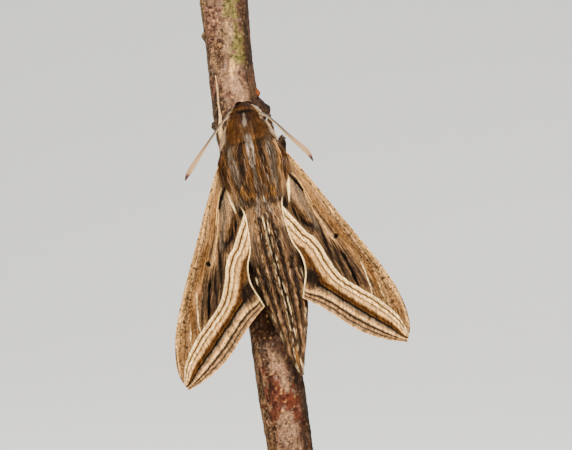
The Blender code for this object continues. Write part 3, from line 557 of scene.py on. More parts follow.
def band_place(plan):
    """Places across the band, 0 at its upper edge and 1 at the wing's outer edge, and where its lines show."""
    places = np.column_stack([np.abs(plan[:, 0]), plan[:, 1]])
    edge, rim = level(spline(BAND_EDGE, 80)), level(spline(FORE_OUTER, 80))
    below = distance_to(places, edge)
    above = distance_to(places, rim) / (0.6 + 0.4 * smooth(places[:, 0], 3.2, 7.0))
    inside = places[:, 1] < np.interp(places[:, 0], edge[:, 0], edge[:, 1])
    total = below + above
    upper, lower = BAND_UPPER * BAND_WIDTH, BAND_LOWER * BAND_WIDTH
    share = np.clip((below - upper) / np.maximum(total - upper - lower, 1e-6), 0, 1)
    between = BAND_UPPER + (1 - BAND_UPPER - BAND_LOWER) * share
    outer = np.where(above < lower, 1 - above / BAND_WIDTH, between)
    wide = np.where(below < upper, below / BAND_WIDTH, outer)
    band = np.where(total < BAND_WIDTH, below / np.maximum(total, 1e-6), wide)
    gap = smooth(below - upper, -0.5, 0.5) * smooth(above - lower, 0.0, 0.3)
    lined = np.where(inside, 1 - gap * smooth(total, BAND_WIDTH, BAND_WIDTH + 1.0), 0.0)
    band = band + 0.012 * mottle(level(places), 1.9, 61)
    return np.where(inside, band, -below / BAND_WIDTH), lined


def node(tree, kind, sockets=None, **settings):
    """Adds a shader node, with its settings and its sockets' values or links."""
    made = tree.nodes.new("ShaderNode" + kind)
    for key, value in settings.items():
        setattr(made, key, value)
    for key, value in (sockets or {}).items():
        if isinstance(value, bpy.types.NodeSocket):
            tree.links.new(value, made.inputs[key])
        else:
            made.inputs[key].default_value = value
    return made


def group(name, inputs, outputs):
    """A new node group with its sockets, and its input and output nodes."""
    tree = bpy.data.node_groups.new(name, "ShaderNodeTree")
    for label, kind, value in inputs:
        socket = tree.interface.new_socket(label, in_out="INPUT", socket_type="NodeSocket" + kind)
        if value is not None:
            socket.default_value = value
    for label, kind in outputs:
        tree.interface.new_socket(label, in_out="OUTPUT", socket_type="NodeSocket" + kind)
    return tree, tree.nodes.new("NodeGroupInput").outputs, tree.nodes.new("NodeGroupOutput").inputs


def mixed(tree, factor, first, second):
    """The colour between two colours."""
    return node(tree, "Mix", {0: factor, 6: first, 7: second}, data_type="RGBA").outputs[2]


def scaled(tree, colour, value):
    """A colour made darker or paler by a value."""
    return node(tree, "VectorMath", {0: colour, "Scale": value}, operation="SCALE").outputs[0]


def remap(tree, value, low, high, start=0.0, end=1.0):
    """A value carried from one range into another."""
    return node(tree, "MapRange", {0: value, 1: low, 2: high, 3: start, 4: end}).outputs[0]


def reckoned(tree, operation, first, second):
    """The result of a sum or a product."""
    return node(tree, "Math", {0: first, 1: second}, operation=operation).outputs[0]


def noise(tree, place, stretch, detail, roughness=0.7):
    """Noise at a place that is scaled along each axis."""
    at = node(tree, "Mapping", {"Vector": place, "Scale": stretch}).outputs[0]
    sockets = {"Vector": at, "Scale": 1.0, "Detail": detail, "Roughness": roughness}
    return node(tree, "TexNoise", sockets).outputs[0]


def attribute(tree, name, output):
    return node(tree, "Attribute", attribute_name=name, attribute_type="GEOMETRY").outputs[output]


def object_place(tree):
    return node(tree, "TexCoord").outputs["Object"]


def streaks_group():
    """Fine darker and paler streaks and specks along the lie of the scales, shared by wings and body."""
    inputs = [
        ("Colour", "Color", (1, 1, 1, 1)), ("Lie", "Vector", None), ("Amount", "Float", 0.5),
        ("Specks", "Float", 0.3),
    ]
    tree, given, out = group("Streaks along the lie", inputs, [("Colour", "Color"), ("Height", "Float")])
    streak = noise(tree, given["Lie"], (4.5, 0.3, 1.0), 4.0)
    speck = noise(tree, given["Lie"], (5.5, 2.2, 1.0), 2.0)
    colour = given["Colour"]
    for field, share, low, high, scale in (
        (streak, "Amount", 0.5, 0.38, 0.35), (streak, "Amount", 0.52, 0.66, 1.7),
        (speck, "Specks", 0.5, 0.4, 0.3), (speck, "Specks", 0.54, 0.64, 1.6),
    ):
        cover = reckoned(tree, "MULTIPLY", remap(tree, field, low, high), given[share])
        colour = mixed(tree, cover, colour, scaled(tree, colour, scale))
    tree.links.new(colour, out["Colour"])
    tree.links.new(reckoned(tree, "ADD", streak, speck), out["Height"])
    return tree


def material(name, roughness, **sockets):
    """A material, its tree and its Principled shader, with constants set on the shader's sockets."""
    made = bpy.data.materials.new(name)
    made.use_nodes = True
    shader = made.node_tree.nodes["Principled BSDF"]
    shader.inputs["Roughness"].default_value = roughness
    for key, value in sockets.items():
        shader.inputs[key.replace("_", " ")].default_value = value
    return made, made.node_tree, shader


def bump(tree, shader, height, distance):
    made = node(tree, "Bump", {"Height": height, "Distance": distance, "Strength": 1.0})
    tree.links.new(made.outputs[0], shader.inputs["Normal"])


def scale_finish(name, streaks, amount, specks, relief):
    """Matt insect scales: the painted tint, streaked along the lie."""
    made, tree, shader = material(name, 0.8, Specular_IOR_Level=0.04)
    tint, lie = attribute(tree, "tint", "Color"), attribute(tree, "lie", "Vector")
    sockets = {"Colour": tint, "Lie": lie, "Amount": amount, "Specks": specks}
    streaked = node(tree, "Group", sockets, node_tree=streaks)
    tree.links.new(streaked.outputs["Colour"], shader.inputs["Base Color"])
    bump(tree, shader, streaked.outputs["Height"], relief * MM)
    return made


def wing_finish(name, streaks, tones):
    """The painted wing with the sharp lines of its silver band."""
    made = scale_finish(name, streaks, 0.75, 0.75, 0.03)
    tree = made.node_tree
    painted_on = next(part for part in tree.nodes if part.type == "GROUP").inputs["Colour"]
    band = attribute(tree, "band", "Fac")
    ramp = node(tree, "ValToRGB", {"Fac": band})
    stops = ramp.color_ramp.elements
    for number, (place, tone_name) in enumerate(BAND_TONES):
        stop = stops[number] if number < 2 else stops.new(place)
        stop.position = place
        stop.color = (*tones[tone_name], 1)
    inside = reckoned(tree, "MULTIPLY", remap(tree, band, -0.006, 0.006), attribute(tree, "lined", "Fac"))
    top = mixed(tree, inside, painted_on.links[0].from_socket, ramp.outputs["Color"])
    below = mixed(tree, attribute(tree, "under", "Fac"), top, (*tones["under"], 1))
    tree.links.new(below, painted_on)
    return made


def coat_finish(name):
    """Tufts of hair-like scales: the marking, darkened towards the root as painted shade among the tufts, and
    paler at the tip.
    """
    made, tree, shader = material(name, 0.7, Specular_IOR_Level=0.05)
    # Painted shade: the tint runs from 0.3 times at the root to 1.25 times at the tip.
    value = remap(tree, attribute(tree, "tip", "Fac"), 0.0, 1.0, 0.3, 1.25)
    tree.links.new(scaled(tree, attribute(tree, "tint", "Color"), value), shader.inputs["Base Color"])
    return made


def tone(name, description, red, green, blue):
    """A colour property whose default is given in display values from 0 to 255."""
    shares = red / 255, green / 255, blue / 255
    linear = tuple(c / 12.92 if c <= 10 / 255 else ((c + 0.055) / 1.055) ** 2.4 for c in shares)
    return bpy.props.FloatVectorProperty(
        name=name, description=description, subtype="COLOR", size=3, min=0, max=1, default=linear,
    )


class MothTones(bpy.types.PropertyGroup):
    """Colours of the scales, the bark and the stand."""

    black: tone("Black", "Darkest scales: the spot and the streaks of the wings", 5, 3, 1)
    umber: tone("Umber", "Dark streaks of the wings and back", 20, 12, 7)
    brown: tone("Brown", "Ground of the body and wings", 64, 46, 30)
    rust: tone("Rust", "Reddish brown of the collar and the band's middle", 50, 27, 9)
    gold: tone("Gold", "Golden hair on the back", 85, 51, 16)
    amber: tone("Amber", "Bright line on each shoulder lappet", 175, 115, 50)
    ochre: tone("Ochre", "Long ochre stripe of the forewing", 132, 91, 50)
    tan: tone("Tan", "Front edge of the wings and the band's middle tones", 150, 109, 69)
    sand: tone("Sand", "Ground of the abdomen", 71, 51, 34)
    taupe: tone("Taupe", "Grey-brown hair and scales", 85, 71, 55)
    silver: tone("Silver", "Pale stripes of the wings", 220, 164, 95)
    pearl: tone("Pearl", "Grey-white hair of the neck, shoulders and midline", 138, 118, 99)
    crust: tone("Crust", "Pale pinkish crust on the twig", 138, 102, 74)
    cream: tone("Cream", "The palest lines", 255, 214, 146)
    under: tone("Underside", "Underside of the wings", 106, 78, 53)
    hind: tone("Hindwing", "Rosy ground of the hindwings", 124, 59, 47)
    bark: tone("Bark", "Ground of the twig", 104, 71, 53)
    lichen: tone("Lichen", "Olive lichen on the twig", 102, 90, 44)
    scar: tone("Scar", "Red-brown peeled bark near the foot of the twig", 81, 34, 18)
    bud: tone("Bud", "Orange bud beside the head", 127, 60, 21)
    leg: tone("Leg", "Cream of the legs", 235, 190, 127)
    wood: tone("Stand wood", "Stained wood of the base", 26, 20, 16)
    floor: tone("Floor", "Plain floor and backdrop", 187, 185, 181)


def measure(name, description, default, low, high):
    """A length property, given in millimetres."""
    return bpy.props.FloatProperty(
        name=name, description=description, default=default * MM, min=low * MM, max=high * MM, unit="LENGTH",
    )


class MothSizes(bpy.types.PropertyGroup):
    """Sizes of the fine forms."""

    coat: measure("Coat depth", "How far the coat stands off the skin", 0.3, 0.05, 0.8)
    vein: measure("Vein height", "How far the veins stand out of the wings", 0.06, 0.0, 0.16)
    bark: measure("Bark relief", "Depth of the furrows of the bark", 0.16, 0.0, 0.3)
    tufts: bpy.props.FloatProperty(
        name="Tufts", description="How many tufts the coat has, as a share of the full count", default=1.0,
        min=0.1, max=1.2, subtype="FACTOR",
    )
    light: bpy.props.FloatProperty(
        name="Light", description="Strength of the main light in watts", default=30.4, min=0.0, max=100.0,
    )


def tones_of(context):
    """The colours by name."""
    chosen = context.scene.moth_tones
    return {name: np.array(getattr(chosen, name)[:]) for name in MothTones.__annotations__}


def streaks():
    """The shared streak group, built once."""
    return bpy.data.node_groups.get("Streaks along the lie") or streaks_group()


def spun(outline, steps):
    """A bmesh from an outline of (radius, height) points in metres, spun round the upright axis."""
    bm = bmesh.new()
    verts = [bm.verts.new((r, 0, z)) for r, z in outline]
    edges = [bm.edges.new(pair) for pair in zip(verts, verts[1:])]
    bmesh.ops.spin(
        bm, geom=verts + edges, cent=(0, 0, 0), axis=(0, 0, 1), angle=math.tau, steps=steps, use_merge=True,
    )
    bmesh.ops.remove_doubles(bm, verts=bm.verts, dist=0.001 * MM)
    bmesh.ops.recalc_face_normals(bm, faces=bm.faces)
    return bm


def stood(name, data, place=(0, 0, 0), turn=(0, 0, 0)):
    """An object of the stage, put in the scene."""
    made = bpy.data.objects.new(name, data)
    made.location = place
    made.rotation_euler = turn
    bpy.context.scene.collection.objects.link(made)
    return made


FLOOR_LINE = [(0.0, 0.0), (0.7, 0.0), (1.0, 0.04), (1.25, 0.16), (1.45, 0.4), (1.55, 0.8), (1.6, 1.6)]
# Lights: place, size and share of the main light's strength
LIGHTS = {
    "key": ((0.12, -0.7, 0.8), 0.32, 1.0),
    "fill": ((-0.9, -0.7, 0.3), 0.9, 0.4),
    "back": ((0.2, 0.9, 0.9), 0.8, 0.5),
}
LIGHT_TARGET = Vector((0, 0, 50)) * MM
CAMERA_PLACE = Vector((-0.59, -508.0, 47.11)) * MM
CAMERA_LENS = 212.4


class BuildStage(bpy.types.Operator):
    """Plain floor that curves up into a backdrop all round, soft lights and the camera"""

    bl_idname = "moth.build_stage"
    bl_label = "Stage, lights and camera"

    def execute(self, context):
        tones, sizes, scene = tones_of(context), context.scene.moth_sizes, context.scene
        bm = spun(spline(FLOOR_LINE, 40), 96)
        bmesh.ops.reverse_faces(bm, faces=bm.faces)
        mesh = mesh_from(bm, "floor")
        mesh.shade_smooth()
        mesh.materials.append(material("floor", 0.9, Base_Color=(*tones["floor"], 1))[0])
        staged = [stood("floor", mesh)]
        for name, (place, size, share) in LIGHTS.items():
            data = bpy.data.lights.new(name, "AREA")
            data.size = size
            data.energy = sizes.light * share
            aim = (LIGHT_TARGET - Vector(place)).to_track_quat("-Z", "Y").to_euler()
            staged.append(stood(name, data, place, aim))
        world = bpy.data.worlds.new("pale room")
        world.use_nodes = True
        sky = world.node_tree.nodes["Background"].inputs
        sky[0].default_value = (0.9, 0.95, 1.0, 1)
        sky[1].default_value = 1.05
        scene.world = world
        data = bpy.data.cameras.new("camera")
        data.sensor_width = 36.0
        data.lens = CAMERA_LENS
        data.clip_start = 0.01
        scene.camera = stood("camera", data, CAMERA_PLACE, (math.pi / 2, 0, 0))
        return {"FINISHED"}


def lathe(name, outline, place, steps):
    """A closed turned form from (radius, height) points in millimetres that start and end on its axis."""
    bm = spun([(r * MM, z * MM) for r, z in outline], steps)
    bmesh.ops.translate(bm, vec=place, verts=bm.verts)
    return mesh_from(bm, name)


BASE_LINE = [
    (0, 0.1), (24.6, 0.1), (25.1, 0.3), (25.8, 1.0), (25.95, 1.5), (25.95, 3.6), (25.7, 4.3), (25.2, 4.75),
    (24.6, 4.9), (23.6, 4.92), (23.4, 4.8), (23.1, 4.8), (22.9, 4.94), (0, 4.94),
]
ROD_LINE = [(0, 4.6), (2.6, 4.6), (2.6, 5.3), (2.45, 5.5), (1.9, 5.55), (1.72, 5.6), (1.72, 12.6), (0, 12.6)]


class BuildStand(bpy.types.Operator):
    """The turned base and the rod that hold the twig upright"""

    bl_idname = "moth.build_stand"
    bl_label = "Stand"

    def execute(self, context):
        tones = tones_of(context)
        wood, tree, shader = material("stand_wood", 0.38, Coat_Weight=0.15, Coat_Roughness=0.3)
        grain = noise(tree, object_place(tree), (260.0, 30.0, 260.0), 6.0, 0.6)
        colour = scaled(tree, tones["wood"], remap(tree, grain, 0.3, 0.7, 0.6, 1.5))
        tree.links.new(colour, shader.inputs["Base Color"])
        bump(tree, shader, grain, 0.03 * MM)
        piece(lathe("base", BASE_LINE, (0, 0, 0), 160), wood, ["stand_base"], 35)
        steel, _, _ = material("stand_steel", 0.32, Metallic=1.0, Base_Color=(0.56, 0.55, 0.53, 1))
        piece(lathe("rod", ROD_LINE, Vector((0.37, 0, 0)) * MM, 64), steel, ["stand_rod"], 35)
        return {"FINISHED"}


TWIG_LINE = [(0.37, 12.0), (-1.78, 25.3), (-5.05, 45.6), (-8.33, 65.9), (-9.84, 80.4), (-10.25, 84.2)]
TWIG_RADIUS = 3.75
# How far the bark's relief lies inside the solid, and how far the twig's cut ends are rounded
BARK_INSET = 0.22
CUT_BEVEL = 0.35
TWIG_CENTRE = spline(TWIG_LINE, 200)
# Buds and scars: height, degrees round from the front towards +X, radius, how far it stands out
TWIG_KNOBS = [
    (65.1, 92.0, 1.4, 1.15), (67.0, 72.0, 0.9, 0.7), (61.9, -90.0, 0.9, 0.65), (75.4, -86.0, 0.8, 0.5),
    (72.0, 160.0, 1.4, 1.0), (19.0, 40.0, 1.8, 0.4), (33.0, -150.0, 1.5, 0.8), (63.9, 86.0, 1.6, 1.2),
]
# Patches on the twig: tone, height, degrees round it, half height in millimetres and half width in degrees
TWIG_PATCHES = [
    ("crust", 71.5, 0, 6.0, 26), ("lichen", 75.6, 18, 4.0, 26), ("crust", 76.5, 8, 3.0, 12),
    ("crust", 67.2, 20, 3.2, 34), ("silver", 70.6, 3, 1.3, 7), ("lichen", 79.6, 20, 1.6, 16),
    ("lichen", 73.4, 26, 1.6, 18), ("scar", 22.6, -18, 4.6, 40), ("scar", 19.5, 32, 3.0, 24),
    # The rust patch at 33 mm is partly the bark's own red-brown and partly painted shadow of the wings and
    # abdomen.
    ("rust", 33.0, -15, 3.5, 60), ("crust", 26.8, -5, 2.4, 22), ("crust", 16.0, 8, 2.8, 26),
    ("crust", 24.0, 8, 1.4, 14),
]


def twig_x(height):
    """How far the twig's middle lies to the right at a height."""
    return np.interp(height, TWIG_CENTRE[:, 1], TWIG_CENTRE[:, 0])


def round_from(turn, degrees=0.0):
    """Angles round the twig from a direction, from minus to plus half a turn."""
    return (turn - math.radians(degrees) + math.pi) % math.tau - math.pi


def off_knob(height, turn, knob):
    """Distance from a knob's middle over the bark, as a share of its radius."""
    return np.hypot(height - knob[0], round_from(turn, knob[1]) * TWIG_RADIUS) / knob[2]


def twig_reach(height, turn):
    """The twig's radius at heights and angles, in millimetres, with its knobs."""
    reach = TWIG_RADIUS + 0.10 * np.sin(3 * turn + 0.0692 * height) + 0.07 * np.sin(7 * turn - 0.06 * height)
    reach = reach + 0.12 * np.sin(0.31 * height + 1.0)
    for knob in TWIG_KNOBS:
        reach = reach + knob[3] * np.maximum(0.0, 1 - off_knob(height, turn, knob)) ** 0.8
    return reach


def bark_fields(height, turn):
    """Points on a straight twig, and how much ridge, crust, grain and crack there is at each."""
    at = np.column_stack([TWIG_RADIUS * np.cos(turn), TWIG_RADIUS * np.sin(turn), height])
    ridge = mottle(at * (1, 1, 0.22), 1.1, 1) + 0.6 * mottle(at * (1, 1, 0.35), 2.4, 2)
    crust = mottle(at, 0.22, 8) + 0.5 * mottle(at, 0.6, 9)
    grain = mottle(at, 3.1, 4) + 0.6 * mottle(at, 6.0, 6)
    plates = mottle(at * (1, 1, 0.2) + 0.5 * grain[:, None], 1.6, 17)
    crack = smooth(-np.abs(plates), -0.22, -0.02) * (0.2 + 0.8 * smooth(-round_from(turn), 0.1, 0.5))
    return at, ridge, crust, grain, crack


class BuildTwig(bpy.types.Operator):
    """The cut length of twig, with ridged bark, lichen, scars and buds"""

    bl_idname = "moth.build_twig"
    bl_label = "Twig"

    def execute(self, context):
        tones, relief = tones_of(context), context.scene.moth_sizes.bark / MM
        foot, top = TWIG_LINE[0][1] + 0.05, TWIG_LINE[-1][1] - 0.05
        def place(u, v):
            turn = (u % 1.0) * math.tau
            height = foot + (top - foot) * v
            _, ridge, crust, grain, crack = bark_fields(height, turn)
            lumps = smooth(crust, 0.1, 0.6) * (0.5 + 0.5 * grain)
            relieved = 0.7 * ridge + 0.3 * grain + 0.6 * lumps - 0.9 * crack
            reach = twig_reach(height, turn) - BARK_INSET + relief * relieved
            reach = reach - CUT_BEVEL * smooth(np.abs(v - 0.5), 0.497, 0.5)
            x = twig_x(height) + reach * np.sin(turn)
            return np.column_stack([x, -reach * np.cos(turn), height]) * MM

        mesh = closed(sheet("bark", 128, 560, place))
        at = points_of(mesh) / MM
        height = at[:, 2]
        turn = np.arctan2(at[:, 0] - twig_x(height), -at[:, 1])
        soft, ridge, crust, grain, crack = bark_fields(height, turn)
        colour = np.tile(tones["bark"], (len(at), 1))

        def lay(tone_name, cover):
            nonlocal colour
            colour = over(colour, tones[tone_name], np.clip(cover, 0, 1))
        left = smooth(-turn, 0.1, 0.7)
        lay("rust", 0.6 * smooth(mottle(soft * (1, 1, 0.6), 0.5, 15), 0.0, 0.6))
        lay("taupe", 0.5 * smooth(mottle(soft, 0.6, 12), 0.0, 0.5))
        lay("tan", 0.55 * smooth(ridge + 0.4 * grain, 0.1, 0.8) * left)
        # Painted shade: greyer and darker towards the twig's left edge.
        lay("taupe", 0.6 * smooth(-turn, 0.95, 1.35))
        lay("tan", 0.35 * smooth(-height, -30.0, -24.0) * left)
        lay("umber", 0.6 * smooth(-ridge - 0.4 * grain, 0.2, 0.9))
        lay("pearl", 0.35 * smooth(mottle(soft, 1.4, 19) + 0.4 * grain, 0.2, 0.7) * (1 - left))
        for tone_name, middle, degrees, tall, wide in TWIG_PATCHES:
            off = np.hypot((height - middle) / tall, round_from(turn, degrees) / math.radians(wide))
            lay(tone_name, 0.85 * smooth(-off - 0.9 * mottle(soft, 0.9, 23) - 0.35 * grain, -1.05, -0.75))
        lay("lichen", 0.8 * smooth(crust + 0.25 * grain, 0.45, 0.8) * smooth(np.abs(turn), 0.9, 1.4))
        # Painted shade: the twig's right side is darkened with rust and umber, and its pale flakes are dimmed
        # there below.
        shade = smooth(turn, 0.35, 0.85)
        lay("rust", 0.7 * shade)
        lay("umber", 0.7 * shade * smooth(mottle(soft * (1, 1, 0.4), 0.9, 29), -0.7, 0.3))
        lay("umber", 0.8 * crack)
        lay("umber", 0.75 * smooth(-grain, 0.35, 0.85))
        flakes = smooth(grain + 0.3 * mottle(soft, 0.7, 25), 0.55, 0.95)
        lay("silver", 0.55 * flakes * (1 - 0.5 * left) * (1 - 0.8 * shade))
        for number, tone_name in ((1, "bud"), (0, "umber"), (2, "umber")):
            lay(tone_name, 0.85 * smooth(-off_knob(height, turn, TWIG_KNOBS[number]), -0.9, -0.5))
        half = 0.5 * (top - foot)
        lay("sand", smooth(np.abs(height - foot - half), half - 0.02, half))
        put(mesh, "tint", colour)
        finish, tree, shader = material("bark", 0.88, Specular_IOR_Level=0.1)
        where = object_place(tree)
        fibre = noise(tree, where, (1900.0, 1900.0, 1100.0), 5.0)
        grit = noise(tree, where, (6000.0, 6000.0, 6000.0), 3.0)
        fibrous = scaled(tree, attribute(tree, "tint", "Color"), remap(tree, fibre, 0.34, 0.66, 0.35, 1.65))
        gritty = scaled(tree, fibrous, remap(tree, grit, 0.38, 0.62, 0.6, 1.4))
        tree.links.new(gritty, shader.inputs["Base Color"])
        bump(tree, shader, reckoned(tree, "ADD", fibre, grit), 0.12 * MM)
        piece(mesh, finish, ["twig"], 80)
        return {"FINISHED"}


def build_wing(name, outline, veins, below, side, size, paint, vein_height):
    """One wing: a thin slab with raised veins, painted over both faces."""

    def place(u, v):
        plan = wing_plan(*outline, u, v)
        narrow = np.minimum(1.0, np.linalg.norm(plan - wing_plan(*outline, 1 - u, v), axis=1) / 6 + 0.35)
        lift = vein_height * vein_lift(veins, u, v) * narrow
        height = roof(plan[:, 0], plan[:, 1], u, v) - below + 0.1 + lift + 0.05 * mottle(level(plan), 0.5, 21)
        return to_world(np.column_stack([side * plan[:, 0], plan[:, 1], height]))

    mesh = sheet(name, *size, place)
    u, v = place_in(mesh)
    plan = wing_plan(*outline, u, v)
    for key, values in zip(("tint", "band", "lined"), paint(plan, u, v)):
        put(mesh, key, values)
    put(mesh, "lie", np.column_stack([u * 10, v * 32, side * plan[:, 0] * 0.05]))
    bm = bmesh.new()
    bm.from_mesh(mesh)
    bmesh.ops.recalc_face_normals(bm, faces=bm.faces)
    bm.normal_update()
    if sum(face.normal.y for face in bm.faces) > 0:
        bmesh.ops.reverse_faces(bm, faces=bm.faces)
    grown = bmesh.ops.extrude_face_region(bm, geom=bm.faces[:], use_keep_orig=True)["geom"]
    upper = [part for part in grown if isinstance(part, bmesh.types.BMVert)]
    bmesh.ops.translate(bm, vec=(0, -WING_THICKNESS * MM, 0), verts=upper)
    bmesh.ops.recalc_face_normals(bm, faces=bm.faces)
    bm.to_mesh(mesh)
    bm.free()
    put(mesh, "under", np.arange(len(mesh.vertices)) < len(u))
    return mesh


class BuildWings(bpy.types.Operator):
    """Forewings with the silver band and its lines, and the rosy hindwings under them"""

    bl_idname = "moth.build_wings"
    bl_label = "Wings"

    def execute(self, context):
        tones, vein_height = tones_of(context), context.scene.moth_sizes.vein / MM
        hem_line = level(spline(FORE_INNER, 80))
        soft_marks = [mark for mark in FORE_MARKS if mark[1] >= SHARP_EDGE]
        sharp_marks = [mark for mark in FORE_MARKS if mark[1] < SHARP_EDGE]

        def paint_fore(plan, u, v):
            ground = np.tile(tones["brown"], (len(u), 1))
            flat = level(plan)

            def lay(tone_name, cover):
                nonlocal ground
                ground = over(ground, tones[tone_name], cover)

            lay("sand", 0.6 * smooth(mottle(flat * (1.0, 0.4, 1), 0.9, 31), -0.2, 0.6))
            lay("ochre", 0.6 * smooth(-plan[:, 1], 18.0, 24.0))
            strand = np.column_stack([u * 40, v * 6, np.zeros(len(u))])
            lay("umber", 0.6 * smooth(mottle(strand, 1.0, 35), 0.2, 0.6))
            lay("tan", 0.6 * smooth(mottle(strand, 1.0, 36), 0.2, 0.7))
            ground = painted(plan, ground, soft_marks, tones, 0.18)
            lay("umber", 0.55 * smooth(mottle(strand * (1.3, 1, 1), 1.0, 37), 0.25, 0.55))
            lay("tan", 0.35 * smooth(mottle(strand * (1.2, 1.5, 1), 1.0, 38), 0.3, 0.6))
            ground = painted(plan, ground, sharp_marks, tones, 0.1)
            dots = smooth(mottle(flat, 5.5, 33), 0.2, 0.5) * smooth(-u, -0.2, -0.12)
            lay("umber", 0.85 * dots * smooth(plan[:, 1], -28.0, -22.0))
            hem = smooth(-distance_to(plan, hem_line), -0.2, -0.14) * smooth(v, 0.2, 0.3)
            lay("cream", hem)
            band, lined = band_place(plan)
            return ground, band, lined * (1 - hem)

        def paint_hind(plan, u, v):
            tint = painted(plan, np.tile(tones["hind"], (len(u), 1)), HIND_MARKS, tones)
            return tint, np.full(len(u), -1.0), np.zeros(len(u))

        fore = (FORE_COSTA, FORE_INNER, FORE_OUTER), FORE_VEINS, 0.0, (136, 270), paint_fore
        hind = (HIND_COSTA, HIND_INNER, HIND_OUTER), HIND_VEINS, HIND_BELOW, (90, 110), paint_hind
        fore_finish = wing_finish("forewing", streaks(), tones)
        hind_finish = scale_finish("hindwing", streaks(), 0.5, 0.3, 0.03)
        for side, word in SIDES:
            for kind, (outline, veins, below, size, paint), finish in (
                ("forewing", fore, fore_finish), ("hindwing", hind, hind_finish),
            ):
                name = f"{kind}_{word}"
                mesh = build_wing(name + "_skin", outline, veins, below, side, size, paint, vein_height)
                piece(mesh, finish, [name], 50)
        return {"FINISHED"}


class BuildBody(bpy.types.Operator):
    """One skin for the head, thorax and abdomen, with the markings"""

    bl_idname = "moth.build_body"
    bl_label = "Body skin"

    def execute(self, context):
        tones = tones_of(context)

        def place(u, v):
            turn = (u % 1.0) * math.tau
            y = BODY_TOP + (BODY_END - BODY_TOP) * v
            step = np.zeros(len(y))
            for start, end in zip(TERGITES, TERGITES[1:]):
                inside = (y <= start) & (y > end)
                step = np.where(inside, 0.14 * ((start - y) / (start - end)) ** 2, step)
            return to_world(turned_head(body_point(y, turn, step - SKIN_DEPTH)))

        mesh = sheet("body_skin", 96, 320, place)
        u, v = place_in(mesh)
        y, turn = BODY_TOP + (BODY_END - BODY_TOP) * v, u * math.tau
        straight = body_point(y, turn)
        put(mesh, "tint", body_tint(straight, turn, tones) * 0.8)
        put(mesh, "lie", np.column_stack([3 * np.cos(turn) + 3.5 * np.sin(turn), y, np.sin(turn)]))
        closed(mesh)
        finish = scale_finish("body_skin", streaks(), 0.6, 0.4, 0.05)
        piece(mesh, finish, ["head", "thorax", "abdomen"])
        return {"FINISHED"}


# Regions of the coat: the stretch of Y, the lowest and highest degrees up from the side, how many tufts,
# their length, how far their tips stand off, their width, and their steps
COAT = [
    ("head_coat", 10.0, 7.5, -90, 90, 8000, 0.6, 0.14, 0.12, 3),
    ("brow_coat", 9.8, 7.3, 6, 26, 620, 0.9, 0.4, 0.11, 4),
    ("collar_coat", 7.8, 4.7, -40, 90, 10500, 1.2, 0.45, 0.12, 4),
    ("ruff_coat", 7.4, 4.4, -12, 20, 2200, 1.2, 0.6, 0.14, 4),
    ("shoulder_coat", 4.9, 1.0, -90, 90, 10000, 2.8, 0.5, 0.18, 4),
    ("lappet_coat", 4.4, -1.0, -8, 50, 6500, 4.0, 0.8, 0.18, 4),
    ("back_coat", 1.4, -2.6, -90, 90, 9500, 2.9, 0.7, 0.18, 4),
    ("crest_coat", -1.4, -2.8, 54, 78, 420, 2.1, 0.8, 0.16, 4),
    ("waist_coat", -2.6, -13.0, -90, 90, 13500, 1.5, 0.24, 0.14, 3),
    ("flank_coat", -4.4, -11.0, 20, 62, 4500, 3.2, 0.4, 0.13, 4),
    ("abdomen_coat", -12.6, -27.5, -90, 90, 12000, 1.2, 0.16, 0.14, 3),
    ("tail_coat", -26.0, -30.2, -90, 90, 2600, 2.0, 0.16, 0.14, 4),
]
# Regions whose front lies ahead of the first place are the head's, and behind the second the abdomen's
HEAD_COAT_FRONT = 5
HIND_COAT_FRONT = -3


